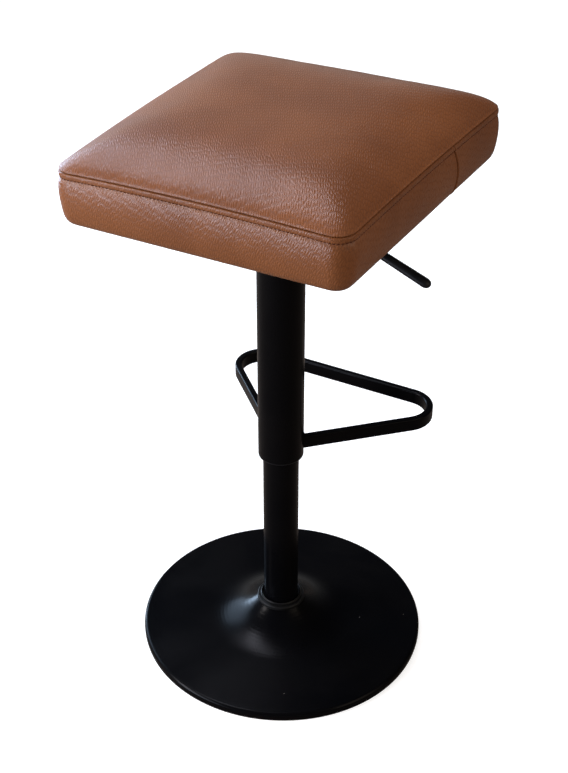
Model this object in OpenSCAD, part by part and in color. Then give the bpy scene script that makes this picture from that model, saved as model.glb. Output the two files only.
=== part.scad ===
// Adjustable bar stool: a round trumpet base, a gas-lift column with a sliding sleeve, a footrest loop
// and a nearly square seat in leather. Millimetres, +Z up, +Y towards the sitter's front, +X to the
// lever's side. The origin is the middle of the base at floor level, and the seat is drawn at the top
// of its travel.

/* [Base] */
// Diameter of the base dish
base_d = 420; // [380:5:450]
// Thickness of the dish's steel sheet
base_sheet_t = 2.5; // [1.5:0.5:3.5]
// Height of the dish's top at its rim
base_rim_h = 12; // [11:1:16]
// Rise of the dish's shallow cone from the rim to the neck
base_cone_rise = 9; // [5:1:13]
// Height of the flat land on the dish's neck
base_neck_h = 50; // [46:1:58]
// Reach of the trumpet flare outside the neck
base_flare_w = 75; // [60:5:90]
// Width of the rubber ring under the rim
floor_ring_w = 9; // [7:0.5:12]
// Thickness of the rubber ring under the rim
floor_ring_t = 2.5; // [2:0.5:4]
// Height of the hub plate's underside above the floor
hub_clear_h = 11; // [10:0.5:13]
// Radius at which the hub plate is welded under the flare
hub_r = 72; // [64:1:80]

/* [Column] */
// Outer diameter of the lower column tube
tube_d = 50.8; // [48:0.2:53]
// Wall of the lower column tube
tube_wall = 2; // [1.5:0.1:2.6]
// Outer diameter of the sliding sleeve
sleeve_d = 64; // [62:0.5:70]
// Wall of the sliding sleeve
sleeve_wall = 2; // [1.5:0.1:2.5]
// Length of the sliding sleeve, measured down from the mounting plate
sleeve_len = 398; // [380:1:420]
// Length of the glide ring in the sleeve's lower end
glide_len = 30; // [20:1:40]
// Length of the guide bush in the top of the lower tube
bush_len = 80; // [50:5:90]
// Width of the rubber collar round the foot of the tube
collar_w = 10; // [8:0.5:12]

/* [Gas lift] */
// Travel of the seat
lift_travel = 210; // [180:5:215]
// Diameter of the gas cylinder
cylinder_d = 28; // [26:0.5:28]
// Wall of the gas cylinder
cylinder_wall = 1.8; // [1.5:0.1:2.2]
// Diameter of the piston rod
rod_d = 10; // [9:0.5:12]
// Length of the taper that seats the cylinder in its socket
taper_len = 42; // [34:1:50]
// Narrowing of the taper's radius over its length
taper_draw = 1; // [0.6:0.1:1.4]
// Stroke of the release pin
pin_stroke = 2.8; // [2.5:0.1:3.5]

/* [Footrest] */
// Height of the footrest's top above the sleeve's lower end
rest_rise = 26; // [24:1:60]
// Distance from the column's axis to the inner face of the long bar
rest_reach = 189; // [150:1:195]
// Half of the width between the inner corners of the loop
rest_half_w = 197; // [170:1:205]
// Bend radius of the loop's corners on the tube's centre line
rest_bend_r = 38; // [16:1:44]
// Width of the footrest's tube
bar_w = 10; // [8:0.5:14]
// Height of the footrest's tube
bar_h = 20; // [16:0.5:22]
// Wall of the footrest's tube
bar_wall = 1.5; // [1:0.1:2]

/* [Seat] */
// Width of the seat at its seam
seat_w = 386; // [330:2:388]
// Depth of the seat at its seam
seat_depth = 418; // [350:2:420]
// Height of the seat's underside above the floor, raised
seat_low_h = 722; // [700:1:740]
// Height of the side band from the underside to the seam
band_h = 76; // [60:1:84]
// Rise of the crowned top above the seam
crown_h = 20; // [10:1:28]
// Drop of the seam at the corners
corner_drop = 4; // [0:0.5:8]
// Radius of the seat's corners in plan
seat_corner_r = 24; // [22:1:40]
// Thickness of the leather
leather_t = 1.6; // [1.2:0.1:2]
// Thickness of the plywood board
board_t = 13; // [12:0.5:16]
// Width of the square mounting plate
plate_w = 180; // [150:2:200]
// Thickness of the mounting plate
plate_t = 2.5; // [2:0.1:3]
// Spacing of the mounting screws both ways
screw_spacing = 144; // [120:2:144]

/* [Lever] */
// Diameter of the lever's steel rod
lever_d = 8; // [7:0.5:9]
// Distance from the lever's pivot to the column's axis
pivot_reach = 15; // [14:0.5:16]
// Distance from the column's axis to the lever's bend
bend_reach = 46; // [42:1:54]
// Distance from the column's axis to the tip of the lever
tip_reach = 206; // [180:1:209]
// Droop of the lever outside the bend, in degrees
lever_droop = 22; // [10:1:24]
// Length of the plastic grip
grip_len = 92; // [70:1:100]
// Width of the plastic grip
grip_w = 15; // [13:0.5:18]
// Height of the plastic grip
grip_h = 11.5; // [11:0.5:14]

/* [Hidden] */
$fn = 72;

// Clearances: a running or location fit, pieces that rest on each other, and the overrun of cuts
fit_gap = 0.05;
rest_gap = 0.2;
soft_gap = 0.3;
overrun = 1;

// Base
base_r = base_d / 2;
rim_bend = 2.5;
rim_round = rim_bend + base_sheet_t;
cone_r = base_r - rim_round;
ring_lip_t = 2;
ring_lip_h = 3;
ring_inset = 0.5;
tube_r = tube_d / 2;
tube_in_r = tube_r - tube_wall;
collar_r = tube_r + collar_w;
land_edge = 1.5;
land_r = collar_r - land_edge;
flare_power = 2.2;
flare_steps = 14;
rim_steps = 6;
flare_h = base_neck_h - base_rim_h - base_cone_rise;
hub_t = 3;
hub_lip = 12;
hub_flat_share = 0.62;
hub_hole_r = 11;
hub_top = hub_clear_h + hub_t;
foot_bolt_r = 3;
foot_bolt_head_r = 5.8;
foot_bolt_head_h = 4;
foot_bolt_count = 4;
foot_bolt_ring_r = 16.5;
foot_washer_r = 6.5;
foot_washer_t = 1.5;
foot_plate_t = 8;
foot_bolt_hole_gap = 0.3;
foot_bolt_short = 0.5;
tube_hole_gap = 0.3;

// Collar: a ring with a raised inner lip that stands off the tube
collar_base_h = 5;
collar_lip_h = 9.5;
collar_lip_w = 2.6;
collar_lip_off = 2.6;
collar_soft = 1.3;

// Thrust bearing and foot of the piston rod
rod_r = rod_d / 2;
rod_foot_r = 4;
foot_plate_top = hub_top + foot_plate_t;
thrust_r = 14;
thrust_t = 1.5;
ball_r = 2;
ball_count = 9;
ball_ring_r = 9.5;
cage_t = 2;
cage_w = 6;
ball_gap = fit_gap;
clip_washer_t = 1.5;
clip_washer_r = 9;
clip_t = 1.2;
clip_r = 6.6;
clip_mouth = 5;
groove_depth = 0.9;
rod_tail = 1.4;
thrust_low_top = foot_plate_top + thrust_t;
thrust_high_low = thrust_low_top + 2 * (ball_r + ball_gap);
thrust_high_top = thrust_high_low + thrust_t;
clip_washer_low = hub_top - clip_washer_t;
clip_low = clip_washer_low - clip_t;
rod_low = clip_low - rod_tail;
bump_len = 24;
bump_r = 13;
bump_top = thrust_high_top + bump_len;
bump_clear = 5;

// Gas cylinder: at the bottom of the travel it stops just above the bump stop
cylinder_r = cylinder_d / 2;
cylinder_in_r = cylinder_r - cylinder_wall;
cylinder_low = bump_top + bump_clear + lift_travel;
cylinder_lip_t = 2;
cylinder_lip_w = 3;
gland_len = 14;
gland_low = cylinder_low + cylinder_lip_t + fit_gap;
piston_len = 12;
piston_low = gland_low + gland_len + rest_gap;
piston_top = piston_low + piston_len;
rod_end_stand = 3;
rod_top = piston_top + rod_end_stand;

// Heights under the seat, worked downwards from its underside
dust_t = 0.8;
dust_top = seat_low_h - rest_gap;
plate_top = dust_top - dust_t - fit_gap;
plate_low = plate_top - plate_t;
bracket_t = 2.5;
pad_t = 5;
eye_r = 5.6;
pivot_drop = 14;
pivot_r = 2.5;
pivot_z = plate_low - pivot_drop;
pin_top = pivot_z - pad_t / 2 - rest_gap;
pin_head_r = 2.8;
pin_head_h = 3;
pin_shank_r = 2;
pin_shank_len = 20;
pin_spare = 2.6;
pin_stand = pin_head_h + pin_stroke + pin_spare;
cylinder_top = pin_top - pin_stand;
cylinder_cap_t = 8;
socket_stand = 2;
socket_top = cylinder_top - socket_stand;
socket_low = cylinder_top - taper_len;
socket_wall = 5;
socket_hub_r = cylinder_r + socket_wall;
socket_flange_t = 4;
taper_slope = taper_draw / taper_len;
sleeve_r = sleeve_d / 2;
sleeve_in_r = sleeve_r - sleeve_wall;
sleeve_low_h = plate_low - sleeve_len;

// Lower tube: its guide bush ends just below the socket at the bottom of the travel
bush_flange_t = 3;
socket_clear = 6;
bush_top = socket_low - lift_travel - socket_clear;
tube_top = bush_top - bush_flange_t;
bush_flange_inset = 0.4;
bush_flange_r = tube_r - bush_flange_inset;
glide_lip_t = 1.5;

// Lever
lever_r = lever_d / 2;
slot_clear = 1.6;
slot_w = 2 * (lever_r + slot_clear);
slot_rise = 3;
slot_low = pivot_z - lever_r - slot_clear;
slot_top = pivot_z + lever_r + slot_clear + slot_rise;
eye_w = 10;
pad_w = 9;
pad_past_axis = 4.5;
ear_side = 0.5;
ear_low = pivot_z - eye_r - ear_side;
ear_reach = 6.5;
pivot_head_r = 3.8;
pivot_head_t = 1.2;
grip_round = 4.2;
grip_end_wall = 14;
rod_in_grip = grip_len - grip_end_wall;
lever_run = (tip_reach - bend_reach) / cos(lever_droop);
lever_bend_r = 20;
lever_bend_len = lever_bend_r * tan(lever_droop / 2);
lever_lap = 0.3;

// Footrest
arm_angle = atan2(rest_reach, rest_half_w);
bar_half = bar_w / 2;
bend_y = rest_reach + bar_half - rest_bend_r;
arm_len = (bend_y - (rest_bend_r - bar_half) * cos(arm_angle)) / sin(arm_angle);
bend_x = arm_len * cos(arm_angle) - (rest_bend_r - bar_half) * sin(arm_angle);
bar_corner = 2.2;
bar_in_corner = 0.9;
bar_lap = 0.5;
bend_swell = 0.03;
cope_gap = 0.1;
rest_top_h = sleeve_low_h + rest_rise;
rest_mid_h = rest_top_h - bar_h / 2;

// Seat
seat_half_w = seat_w / 2;
seat_half_d = seat_depth / 2;
seam_h = seat_low_h + band_h;
board_low = seat_low_h + leather_t + rest_gap;
board_top = board_low + board_t;
board_inset = 13.5;
dust_inset = 22;
turn_under = 36;
seam_gap = 0.3;
screw_r = 3;
screw_hole_gap = 0.4;
screw_head_r = 5.5;
screw_head_h = 4;
seat_washer_r = 8;
seat_washer_t = 1.5;
tnut_flange_r = 9;
tnut_flange_t = 1.5;
tnut_barrel_r = 4;
tnut_barrel_len = 10;
plate_corner_r = 16;
plate_rim_h = 8;
screw_bite = 12;
screw_end = board_low + screw_bite;

// Shares of the soft forms: how the crown and the sides of the cushion run
crown_flat_share = 0.45;
crown_power = 5;
ring_shares = [1, 0.985, 0.95, 0.89, 0.8, 0.68, 0.54, 0.38, 0.2];
corner_steps = 5;
side_steps = 6;
seam_step = 1;

// Draw-in of the side band: how far each level lies inside the seam's outline
welt_puff = 0.6;
welt_drop = 4.5;
stitch_in = 0.5;
stitch_drop = 9.5;
side_puff = 0.4;
low_draw = 3.6;
low_draw_h = 15;
toe_draw = 7.4;
toe_h = 4.5;
under_draw = 12.5;

function dish_flare(r) = flare_h * pow(max(0, 1 - (r - land_r) / base_flare_w), flare_power);
function dish_cone(r) = base_cone_rise * (cone_r - r) / (cone_r - land_r);
function dish_top(r) = base_rim_h + dish_cone(r) + dish_flare(r);
function dish_under(r) = dish_top(r) - base_sheet_t;

// Radii at which the dish's profile is drawn, from the neck outwards
dish_radii = concat([for (i = [0 : flare_steps]) land_r + base_flare_w * i / flare_steps], [cone_r]);

function rim_arc(radius) = [for (i = [1 : rim_steps])
    [cone_r + radius * sin(90 * i / rim_steps), base_rim_h - rim_round + radius * cos(90 * i / rim_steps)]];
function flip(list) = [for (i = [len(list) - 1 : -1 : 0]) list[i]];

// A rounded rectangle's outline, as points at equal steps: corner arcs, then sides, from +X round to +Y
function corner_pt(q, i, hx, hy, r) =
    let (sx = q == 0 || q == 3 ? 1 : -1, sy = q < 2 ? 1 : -1, a = 90 * (q + i / corner_steps))
    [sx * (hx - r) + r * cos(a), sy * (hy - r) + r * sin(a)];
function side_pt(q, i, hx, hy, r) =
    let (a = corner_pt(q, corner_steps, hx, hy, r), b = corner_pt((q + 1) % 4, 0, hx, hy, r))
    a + (b - a) * i / side_steps;
function outline(inset) = let (hx = seat_half_w - inset, hy = seat_half_d - inset, r = seat_corner_r - inset)
    [for (q = [0 : 3], i = [0 : corner_steps + side_steps - 1])
        i <= corner_steps ? corner_pt(q, i, hx, hy, r) : side_pt(q, i - corner_steps, hx, hy, r)];
outline_count = 4 * (corner_steps + side_steps);

function drop_at(p) = corner_drop * pow(p[0] * p[1] / (seat_half_w * seat_half_d), 2);
function crown_at(p, share) =
    let (u = p[0] / seat_half_w, v = p[1] / seat_half_d)
    crown_h * (crown_flat_share * (1 - pow(share, crown_power))
               + (1 - crown_flat_share) * (1 - u * u) * (1 - v * v));

// Levels of the side band from the seam down and under the board: draw-in, height and whether the
// level follows the dropping corners of the seam
band_levels = [
    [welt_puff, seam_h, 1],
    [-welt_puff, seam_h - welt_drop, 1],
    [stitch_in, seam_h - stitch_drop, 1],
    [-side_puff, seam_h - band_h / 3, 1],
    [side_puff, seat_low_h + band_h / 2, 0],
    [low_draw, seat_low_h + low_draw_h, 0],
    [toe_draw, seat_low_h + toe_h, 0],
    [under_draw, seat_low_h, 0],
    [turn_under, seat_low_h, 0]];
band_last = len(band_levels) - 1;
function level_step(i) =
    let (a = band_levels[max(0, i - 1)], b = band_levels[min(band_last, i + 1)])
    let (d = [b[0] - a[0], b[1] - a[1]])
    d / norm(d);
// The leather's inner face lies one thickness inside its outer face
band_inner = [for (i = [0 : band_last])
    let (s = level_step(i))
    [band_levels[i][0] - s[1] * leather_t, band_levels[i][1] + s[0] * leather_t, band_levels[i][2]]];
band_section = concat(band_levels, flip(band_inner));

function level_points(level) =
    [for (p = outline(level[0])) [p[0], p[1], level[1] - level[2] * drop_at(p)]];

// Triangles of a closed skin over rings of points, all with the same number of points
function ring_faces(a, b, n) = [for (i = [0 : n - 1], k = [0, 1])
    let (j = (i + 1) % n)
    k == 0 ? [a * n + i, a * n + j, b * n + j] : [a * n + i, b * n + j, b * n + i]];
function fan_faces(ring, tip, n, up) = [for (i = [0 : n - 1])
    let (j = (i + 1) % n)
    up ? [ring * n + i, ring * n + j, tip] : [ring * n + j, ring * n + i, tip]];
function joined(lists) = [for (list = lists, item = list) item];

module tube(r_out, r_in, low, high) {
    translate([0, 0, low]) difference() {
        cylinder(r = r_out, h = high - low);
        translate([0, 0, -overrun]) cylinder(r = r_in, h = high - low + 2 * overrun);
    }
}

module rounded_rect(w, d, r) {
    square([w - 2 * r, d], center = true);
    square([w, d - 2 * r], center = true);
    for (x = [-1, 1], y = [-1, 1]) translate([x * (w / 2 - r), y * (d / 2 - r)]) circle(r = r, $fn = 32);
}

module foot_bolt_places() {
    for (i = [0 : foot_bolt_count - 1]) rotate(45 + 360 * i / foot_bolt_count)
        translate([foot_bolt_ring_r, 0, 0]) children();
}

module screw_places() {
    for (x = [-1, 1], y = [-1, 1]) translate([x * screw_spacing / 2, y * screw_spacing / 2, 0]) children();
}

// Rubber ring under the rim, with a lip inside the dish's skirt
module floor_ring() {
    skirt_in_r = base_r - base_sheet_t - fit_gap;
    color([0.06, 0.06, 0.06]) rotate_extrude($fn = 120) polygon([
        [base_r - ring_inset - floor_ring_w, 0],
        [base_r - ring_inset, 0],
        [base_r - ring_inset, floor_ring_t],
        [skirt_in_r, floor_ring_t],
        [skirt_in_r, floor_ring_t + ring_lip_h],
        [skirt_in_r - ring_lip_t, floor_ring_t + ring_lip_h],
        [skirt_in_r - ring_lip_t, floor_ring_t],
        [base_r - ring_inset - floor_ring_w, floor_ring_t]]);
}

// Pressed dish: a turned-down rim, a shallow cone and a trumpet neck with a hole for the tube
module base_dish() {
    hole_r = tube_r + tube_hole_gap;
    upper = concat([[hole_r, base_neck_h]], [for (r = dish_radii) [r, dish_top(r)]], rim_arc(rim_round));
    lower = concat(flip(rim_arc(rim_bend)), [for (r = flip(dish_radii)) [r, dish_under(r)]]);
    color([0.07, 0.07, 0.075]) rotate_extrude($fn = 120) polygon(concat(
        upper,
        [[base_r, floor_ring_t], [base_r - base_sheet_t, floor_ring_t]],
        lower,
        [[hole_r, base_neck_h - base_sheet_t]]));
}

// Pressed cup welded under the flare, which carries the foot of the tube
module hub_plate() {
    flat_r = hub_r * hub_flat_share;
    lip_radii = [hub_r, hub_r + hub_lip / 2, hub_r + hub_lip];
    lip_top = [for (r = lip_radii) [r, dish_under(r) - rest_gap]];
    lip_low = [for (r = flip(lip_radii)) [r, dish_under(r) - rest_gap - hub_t]];
    color([0.1, 0.1, 0.1]) difference() {
        rotate_extrude($fn = 96) polygon(concat(
            [[hub_hole_r, hub_top], [flat_r, hub_top]],
            lip_top,
            lip_low,
            [[flat_r, hub_clear_h], [hub_hole_r, hub_clear_h]]));
        foot_bolt_places() translate([0, 0, hub_clear_h - overrun])
            cylinder(r = foot_bolt_r + foot_bolt_hole_gap, h = hub_t + 2 * overrun);
    }
}

module foot_washers() {
    color([0.7, 0.7, 0.7]) foot_bolt_places()
        tube(foot_washer_r, foot_bolt_r + foot_bolt_hole_gap, hub_clear_h - foot_washer_t, hub_clear_h);
}

// Hexagon bolts that pull the foot plate down on the hub plate
module foot_bolts() {
    head_top = hub_clear_h - foot_washer_t;
    shank_len = foot_plate_top - foot_bolt_short - head_top;
    color([0.75, 0.75, 0.75]) foot_bolt_places() {
        translate([0, 0, head_top - foot_bolt_head_h])
            cylinder(r = foot_bolt_head_r, h = foot_bolt_head_h, $fn = 6);
        translate([0, 0, head_top]) cylinder(r = foot_bolt_r, h = shank_len);
    }
}

module column_tube() {
    color([0.05, 0.05, 0.055]) tube(tube_r, tube_in_r, hub_top, tube_top);
}

// Thick disc welded in the foot of the tube: tapped holes for the bolts, a bore for the rod's foot
module foot_plate() {
    color([0.3, 0.3, 0.3]) difference() {
        translate([0, 0, hub_top]) cylinder(r = tube_in_r - fit_gap, h = foot_plate_t);
        translate([0, 0, hub_top - overrun])
            cylinder(r = rod_foot_r + fit_gap, h = foot_plate_t + 2 * overrun);
        foot_bolt_places() translate([0, 0, hub_top - overrun])
            cylinder(r = foot_bolt_r + fit_gap, h = foot_plate_t + 2 * overrun);
    }
}

// Rubber collar on the neck, with a raised inner lip
module column_collar() {
    in_r = tube_r + fit_gap;
    lip_in_r = tube_r + collar_lip_off;
    lip_out_r = lip_in_r + collar_lip_w;
    color([0.04, 0.04, 0.04]) translate([0, 0, base_neck_h]) rotate_extrude($fn = 96) polygon([
        [in_r, 0],
        [collar_r, 0],
        [collar_r, collar_base_h - collar_soft],
        [collar_r - collar_soft, collar_base_h],
        [lip_out_r, collar_base_h],
        [lip_out_r, collar_lip_h - collar_soft],
        [lip_out_r - collar_soft, collar_lip_h],
        [lip_in_r, collar_lip_h - collar_soft],
        [lip_in_r, collar_base_h - collar_soft],
        [in_r, collar_base_h - collar_soft]]);
}

// Plastic bush in the top of the tube, in which the gas cylinder slides
module guide_bush() {
    bore_r = cylinder_r + fit_gap;
    color([0.85, 0.85, 0.8]) rotate_extrude() polygon([
        [bore_r, tube_top - bush_len],
        [tube_in_r - fit_gap, tube_top - bush_len],
        [tube_in_r - fit_gap, tube_top],
        [bush_flange_r, tube_top],
        [bush_flange_r, bush_top],
        [bore_r, bush_top]]);
}

module thrust_washer_low() {
    color([0.8, 0.8, 0.8]) tube(thrust_r, rod_foot_r + fit_gap, foot_plate_top, thrust_low_top);
}

// Ring of bearing balls in their flat cage
module ball_cage() {
    mid = thrust_low_top + ball_gap + ball_r;
    color([0.8, 0.7, 0.4]) {
        tube(ball_ring_r + cage_w / 2, ball_ring_r - cage_w / 2, mid - cage_t / 2, mid + cage_t / 2);
        for (i = [0 : ball_count - 1]) rotate(360 * i / ball_count)
            translate([ball_ring_r, 0, mid]) sphere(r = ball_r, $fn = 32);
    }
}

module thrust_washer_high() {
    color([0.8, 0.8, 0.8]) tube(thrust_r, rod_foot_r + fit_gap, thrust_high_low, thrust_high_top);
}

module clip_washer() {
    color([0.8, 0.8, 0.8]) tube(clip_washer_r, rod_foot_r + fit_gap, clip_washer_low, hub_top);
}

// Open spring clip in the groove of the rod's foot
module retaining_clip() {
    color([0.2, 0.2, 0.25]) difference() {
        tube(clip_r, rod_foot_r - groove_depth + fit_gap, clip_low, clip_low + clip_t);
        translate([0, -clip_mouth / 2, clip_low - overrun])
            cube([clip_r + overrun, clip_mouth, clip_t + 2 * overrun]);
    }
}

// Rod with a thinner foot that passes the bearing and the foot plate, and a groove for the clip
module piston_rod() {
    groove_r = rod_foot_r - groove_depth;
    color([0.85, 0.85, 0.88]) rotate_extrude() polygon([
        [0, rod_low],
        [rod_foot_r, rod_low],
        [rod_foot_r, clip_low],
        [groove_r, clip_low],
        [groove_r, clip_washer_low],
        [rod_foot_r, clip_washer_low],
        [rod_foot_r, thrust_high_top],
        [rod_r, thrust_high_top],
        [rod_r, rod_top],
        [0, rod_top]]);
}

module bump_stop() {
    color([0.1, 0.1, 0.1]) tube(bump_r, rod_r + rest_gap, thrust_high_top, bump_top);
}

// Piston with a seal groove, fixed near the top of the rod
module piston() {
    out_r = cylinder_in_r - fit_gap;
    seal_depth = 1;
    seal_from = piston_low + piston_len / 3;
    seal_to = piston_top - piston_len / 3;
    color([0.6, 0.6, 0.55]) rotate_extrude() polygon([
        [rod_r + fit_gap, piston_low],
        [out_r, piston_low],
        [out_r, seal_from],
        [out_r - seal_depth, seal_from],
        [out_r - seal_depth, seal_to],
        [out_r, seal_to],
        [out_r, piston_top],
        [rod_r + fit_gap, piston_top]]);
}

function taper_r(z) = cylinder_r - taper_slope * (z - socket_low);

// Gas cylinder: crimped at its foot, tapered at its head, with a bore for the release pin
module gas_cylinder() {
    bore_top = cylinder_top - cylinder_cap_t;
    pin_bore_r = pin_shank_r + fit_gap;
    color([0.12, 0.12, 0.13]) rotate_extrude() polygon([
        [cylinder_in_r - cylinder_lip_w, cylinder_low],
        [cylinder_r, cylinder_low],
        [cylinder_r, socket_low],
        [taper_r(cylinder_top), cylinder_top],
        [pin_bore_r, cylinder_top],
        [pin_bore_r, bore_top],
        [cylinder_in_r, bore_top],
        [cylinder_in_r, cylinder_low + cylinder_lip_t],
        [cylinder_in_r - cylinder_lip_w, cylinder_low + cylinder_lip_t]]);
}

module rod_gland() {
    color([0.7, 0.7, 0.6]) tube(cylinder_in_r - fit_gap, rod_r + fit_gap, gland_low, gland_low + gland_len);
}

// Flanged steel socket, welded in the sleeve, which grips the cylinder's taper
module taper_socket() {
    flange_r = sleeve_in_r - fit_gap;
    color([0.35, 0.35, 0.35]) rotate_extrude() polygon([
        [taper_r(socket_low) + fit_gap, socket_low],
        [socket_hub_r, socket_low],
        [socket_hub_r, socket_top - socket_flange_t],
        [flange_r, socket_top - socket_flange_t],
        [flange_r, socket_top],
        [taper_r(socket_top) + fit_gap, socket_top]]);
}

// Outer sleeve that rises with the seat, with a window for the lever
module sleeve() {
    color([0.05, 0.05, 0.055]) difference() {
        tube(sleeve_r, sleeve_in_r, sleeve_low_h, plate_low);
        translate([0, -slot_w / 2, slot_low]) cube([sleeve_r + overrun, slot_w, slot_top - slot_low]);
    }
}

module glide_ring() {
    bore_r = tube_r + fit_gap;
    color([0.08, 0.08, 0.08]) rotate_extrude() polygon([
        [bore_r, sleeve_low_h - glide_lip_t],
        [sleeve_r - rest_gap, sleeve_low_h - glide_lip_t],
        [sleeve_r - rest_gap, sleeve_low_h],
        [sleeve_in_r - fit_gap, sleeve_low_h],
        [sleeve_in_r - fit_gap, sleeve_low_h + glide_len],
        [bore_r, sleeve_low_h + glide_len]]);
}

// One arm of the loop with its bend; the arm's inner face points at the column's axis. A bend is a
// hair thicker than the bars that lap into its ends.
module rest_side(w, h, corner) {
    rotate(arm_angle) translate([0, -bar_half, rest_mid_h]) rotate([90, 0, 90])
        linear_extrude(arm_len + bar_lap) rounded_rect(w, h, corner);
    translate([bend_x, bend_y, rest_mid_h]) rotate(arm_angle - 90)
        rotate_extrude(angle = 180 - arm_angle, $fn = 96) translate([rest_bend_r, 0])
            rounded_rect(w + 2 * bend_swell, h + 2 * bend_swell, corner + bend_swell);
}

// The whole loop as a solid with the given section
module rest_loop(w, h, corner) {
    rest_side(w, h, corner);
    mirror([1, 0, 0]) rest_side(w, h, corner);
    translate([-bend_x - bar_lap, rest_reach + bar_half, rest_mid_h]) rotate([90, 0, 90])
        linear_extrude(2 * (bend_x + bar_lap)) rounded_rect(w, h, corner);
}

// Footrest: one bent loop of flat-sided tube, its ends coped to the sleeve
module footrest() {
    color([0.05, 0.05, 0.055]) difference() {
        rest_loop(bar_w, bar_h, bar_corner);
        rest_loop(bar_w - 2 * bar_wall, bar_h - 2 * bar_wall, bar_in_corner);
        translate([0, 0, rest_top_h - bar_h - overrun])
            cylinder(r = sleeve_r + cope_gap, h = bar_h + 2 * overrun);
    }
}

// Pressed steel plate under the board, with a turned-down rim
module mounting_plate() {
    rim_in = plate_w - 2 * plate_t;
    color([0.08, 0.08, 0.08]) difference() {
        translate([0, 0, plate_low - plate_rim_h]) linear_extrude(plate_t + plate_rim_h)
            rounded_rect(plate_w, plate_w, plate_corner_r);
        translate([0, 0, plate_low - plate_rim_h - overrun]) linear_extrude(plate_rim_h + overrun)
            rounded_rect(rim_in, rim_in, plate_corner_r - plate_t);
        screw_places() translate([0, 0, plate_low - overrun])
            cylinder(r = screw_r + screw_hole_gap, h = plate_t + 2 * overrun);
    }
}

// Folded bracket with two ears, welded under the plate inside the sleeve
module lever_bracket() {
    ear_in = eye_w / 2 + rest_gap;
    ear_out = ear_in + bracket_t;
    color([0.3, 0.3, 0.3]) difference() {
        union() {
            translate([pivot_reach - ear_reach, -ear_out, plate_low - bracket_t])
                cube([2 * ear_reach, 2 * ear_out, bracket_t]);
            for (y = [-ear_out, ear_in]) translate([pivot_reach - ear_reach, y, ear_low])
                cube([2 * ear_reach, bracket_t, plate_low - ear_low]);
        }
        translate([pivot_reach, ear_out + overrun, pivot_z]) rotate([90, 0, 0])
            cylinder(r = pivot_r + fit_gap, h = 2 * (ear_out + overrun));
    }
}

// Headed pin through both ears and the lever's eye
module pivot_pin() {
    ear_out = eye_w / 2 + rest_gap + bracket_t;
    color([0.75, 0.75, 0.75]) translate([pivot_reach, 0, pivot_z]) rotate([90, 0, 0]) {
        translate([0, 0, -ear_out]) cylinder(r = pivot_r, h = 2 * ear_out);
        for (z = [-ear_out - pivot_head_t, ear_out]) translate([0, 0, z])
            cylinder(r = pivot_head_r, h = pivot_head_t);
    }
}

// Button of the gas valve
module release_pin() {
    color([0.8, 0.8, 0.8]) rotate_extrude($fn = 48) polygon([
        [0, pin_top - pin_head_h - pin_shank_len],
        [pin_shank_r, pin_top - pin_head_h - pin_shank_len],
        [pin_shank_r, pin_top - pin_head_h],
        [pin_head_r, pin_top - pin_head_h],
        [pin_head_r, pin_top],
        [0, pin_top]]);
}

module at_lever_bend() {
    translate([bend_reach, 0, pivot_z]) rotate([0, lever_droop, 0]) children();
}

// Steel lever: a flat pad over the release pin, an eye for the pivot and a rod bent down outside
module lever() {
    color([0.06, 0.06, 0.06]) difference() {
        union() {
            translate([-pad_past_axis, -pad_w / 2, pivot_z - pad_t / 2])
                cube([pivot_reach + pad_past_axis, pad_w, pad_t]);
            translate([pivot_reach, eye_w / 2, pivot_z]) rotate([90, 0, 0]) cylinder(r = eye_r, h = eye_w);
            translate([pivot_reach, 0, pivot_z]) rotate([0, 90, 0])
                cylinder(r = lever_r, h = bend_reach - lever_bend_len - pivot_reach + lever_lap);
            translate([bend_reach - lever_bend_len, 0, pivot_z - lever_bend_r])
                rotate([90, 0, 0]) rotate(90 - lever_droop) rotate_extrude(angle = lever_droop)
                    translate([lever_bend_r, 0]) circle(r = lever_r + bend_swell, $fn = 48);
            at_lever_bend() translate([lever_bend_len - lever_lap, 0, 0]) rotate([0, 90, 0])
                cylinder(r = lever_r, h = lever_run - grip_len + rod_in_grip - lever_bend_len + lever_lap);
        }
        translate([pivot_reach, eye_w / 2 + overrun, pivot_z]) rotate([90, 0, 0])
            cylinder(r = pivot_r + fit_gap, h = eye_w + 2 * overrun);
    }
}

// Plastic grip pushed on the rod: a rounded bar with a round tip in plan
module lever_grip() {
    from = lever_run - grip_len;
    color([0.05, 0.05, 0.055]) at_lever_bend() difference() {
        intersection() {
            translate([from, 0, 0]) rotate([90, 0, 90]) linear_extrude(grip_len)
                rounded_rect(grip_w, grip_h, grip_round);
            translate([0, 0, -grip_h]) linear_extrude(2 * grip_h) union() {
                translate([from, -grip_w / 2]) square([grip_len - grip_w / 2, grip_w]);
                translate([lever_run - grip_w / 2, 0]) circle(d = grip_w);
            }
        }
        translate([from - overrun, 0, 0]) rotate([0, 90, 0])
            cylinder(r = lever_r + fit_gap, h = rod_in_grip + rest_gap + overrun);
    }
}

// Plywood board with counterbored holes for the T-nuts
module seat_board() {
    w = seat_w - 2 * board_inset;
    d = seat_depth - 2 * board_inset;
    color([0.75, 0.6, 0.4]) difference() {
        translate([0, 0, board_low]) linear_extrude(board_t) rounded_rect(w, d, seat_corner_r - board_inset);
        screw_places() {
            translate([0, 0, board_low - overrun])
                cylinder(r = tnut_barrel_r + fit_gap, h = board_t + 2 * overrun);
            translate([0, 0, board_top - tnut_flange_t])
                cylinder(r = tnut_flange_r + fit_gap, h = tnut_flange_t + overrun);
        }
    }
}

module t_nuts() {
    color([0.8, 0.8, 0.78]) screw_places() {
        tube(tnut_flange_r, screw_r + fit_gap, board_top - tnut_flange_t, board_top);
        tube(tnut_barrel_r, screw_r + fit_gap, board_top - tnut_flange_t - tnut_barrel_len,
             board_top - tnut_flange_t);
    }
}

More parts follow.
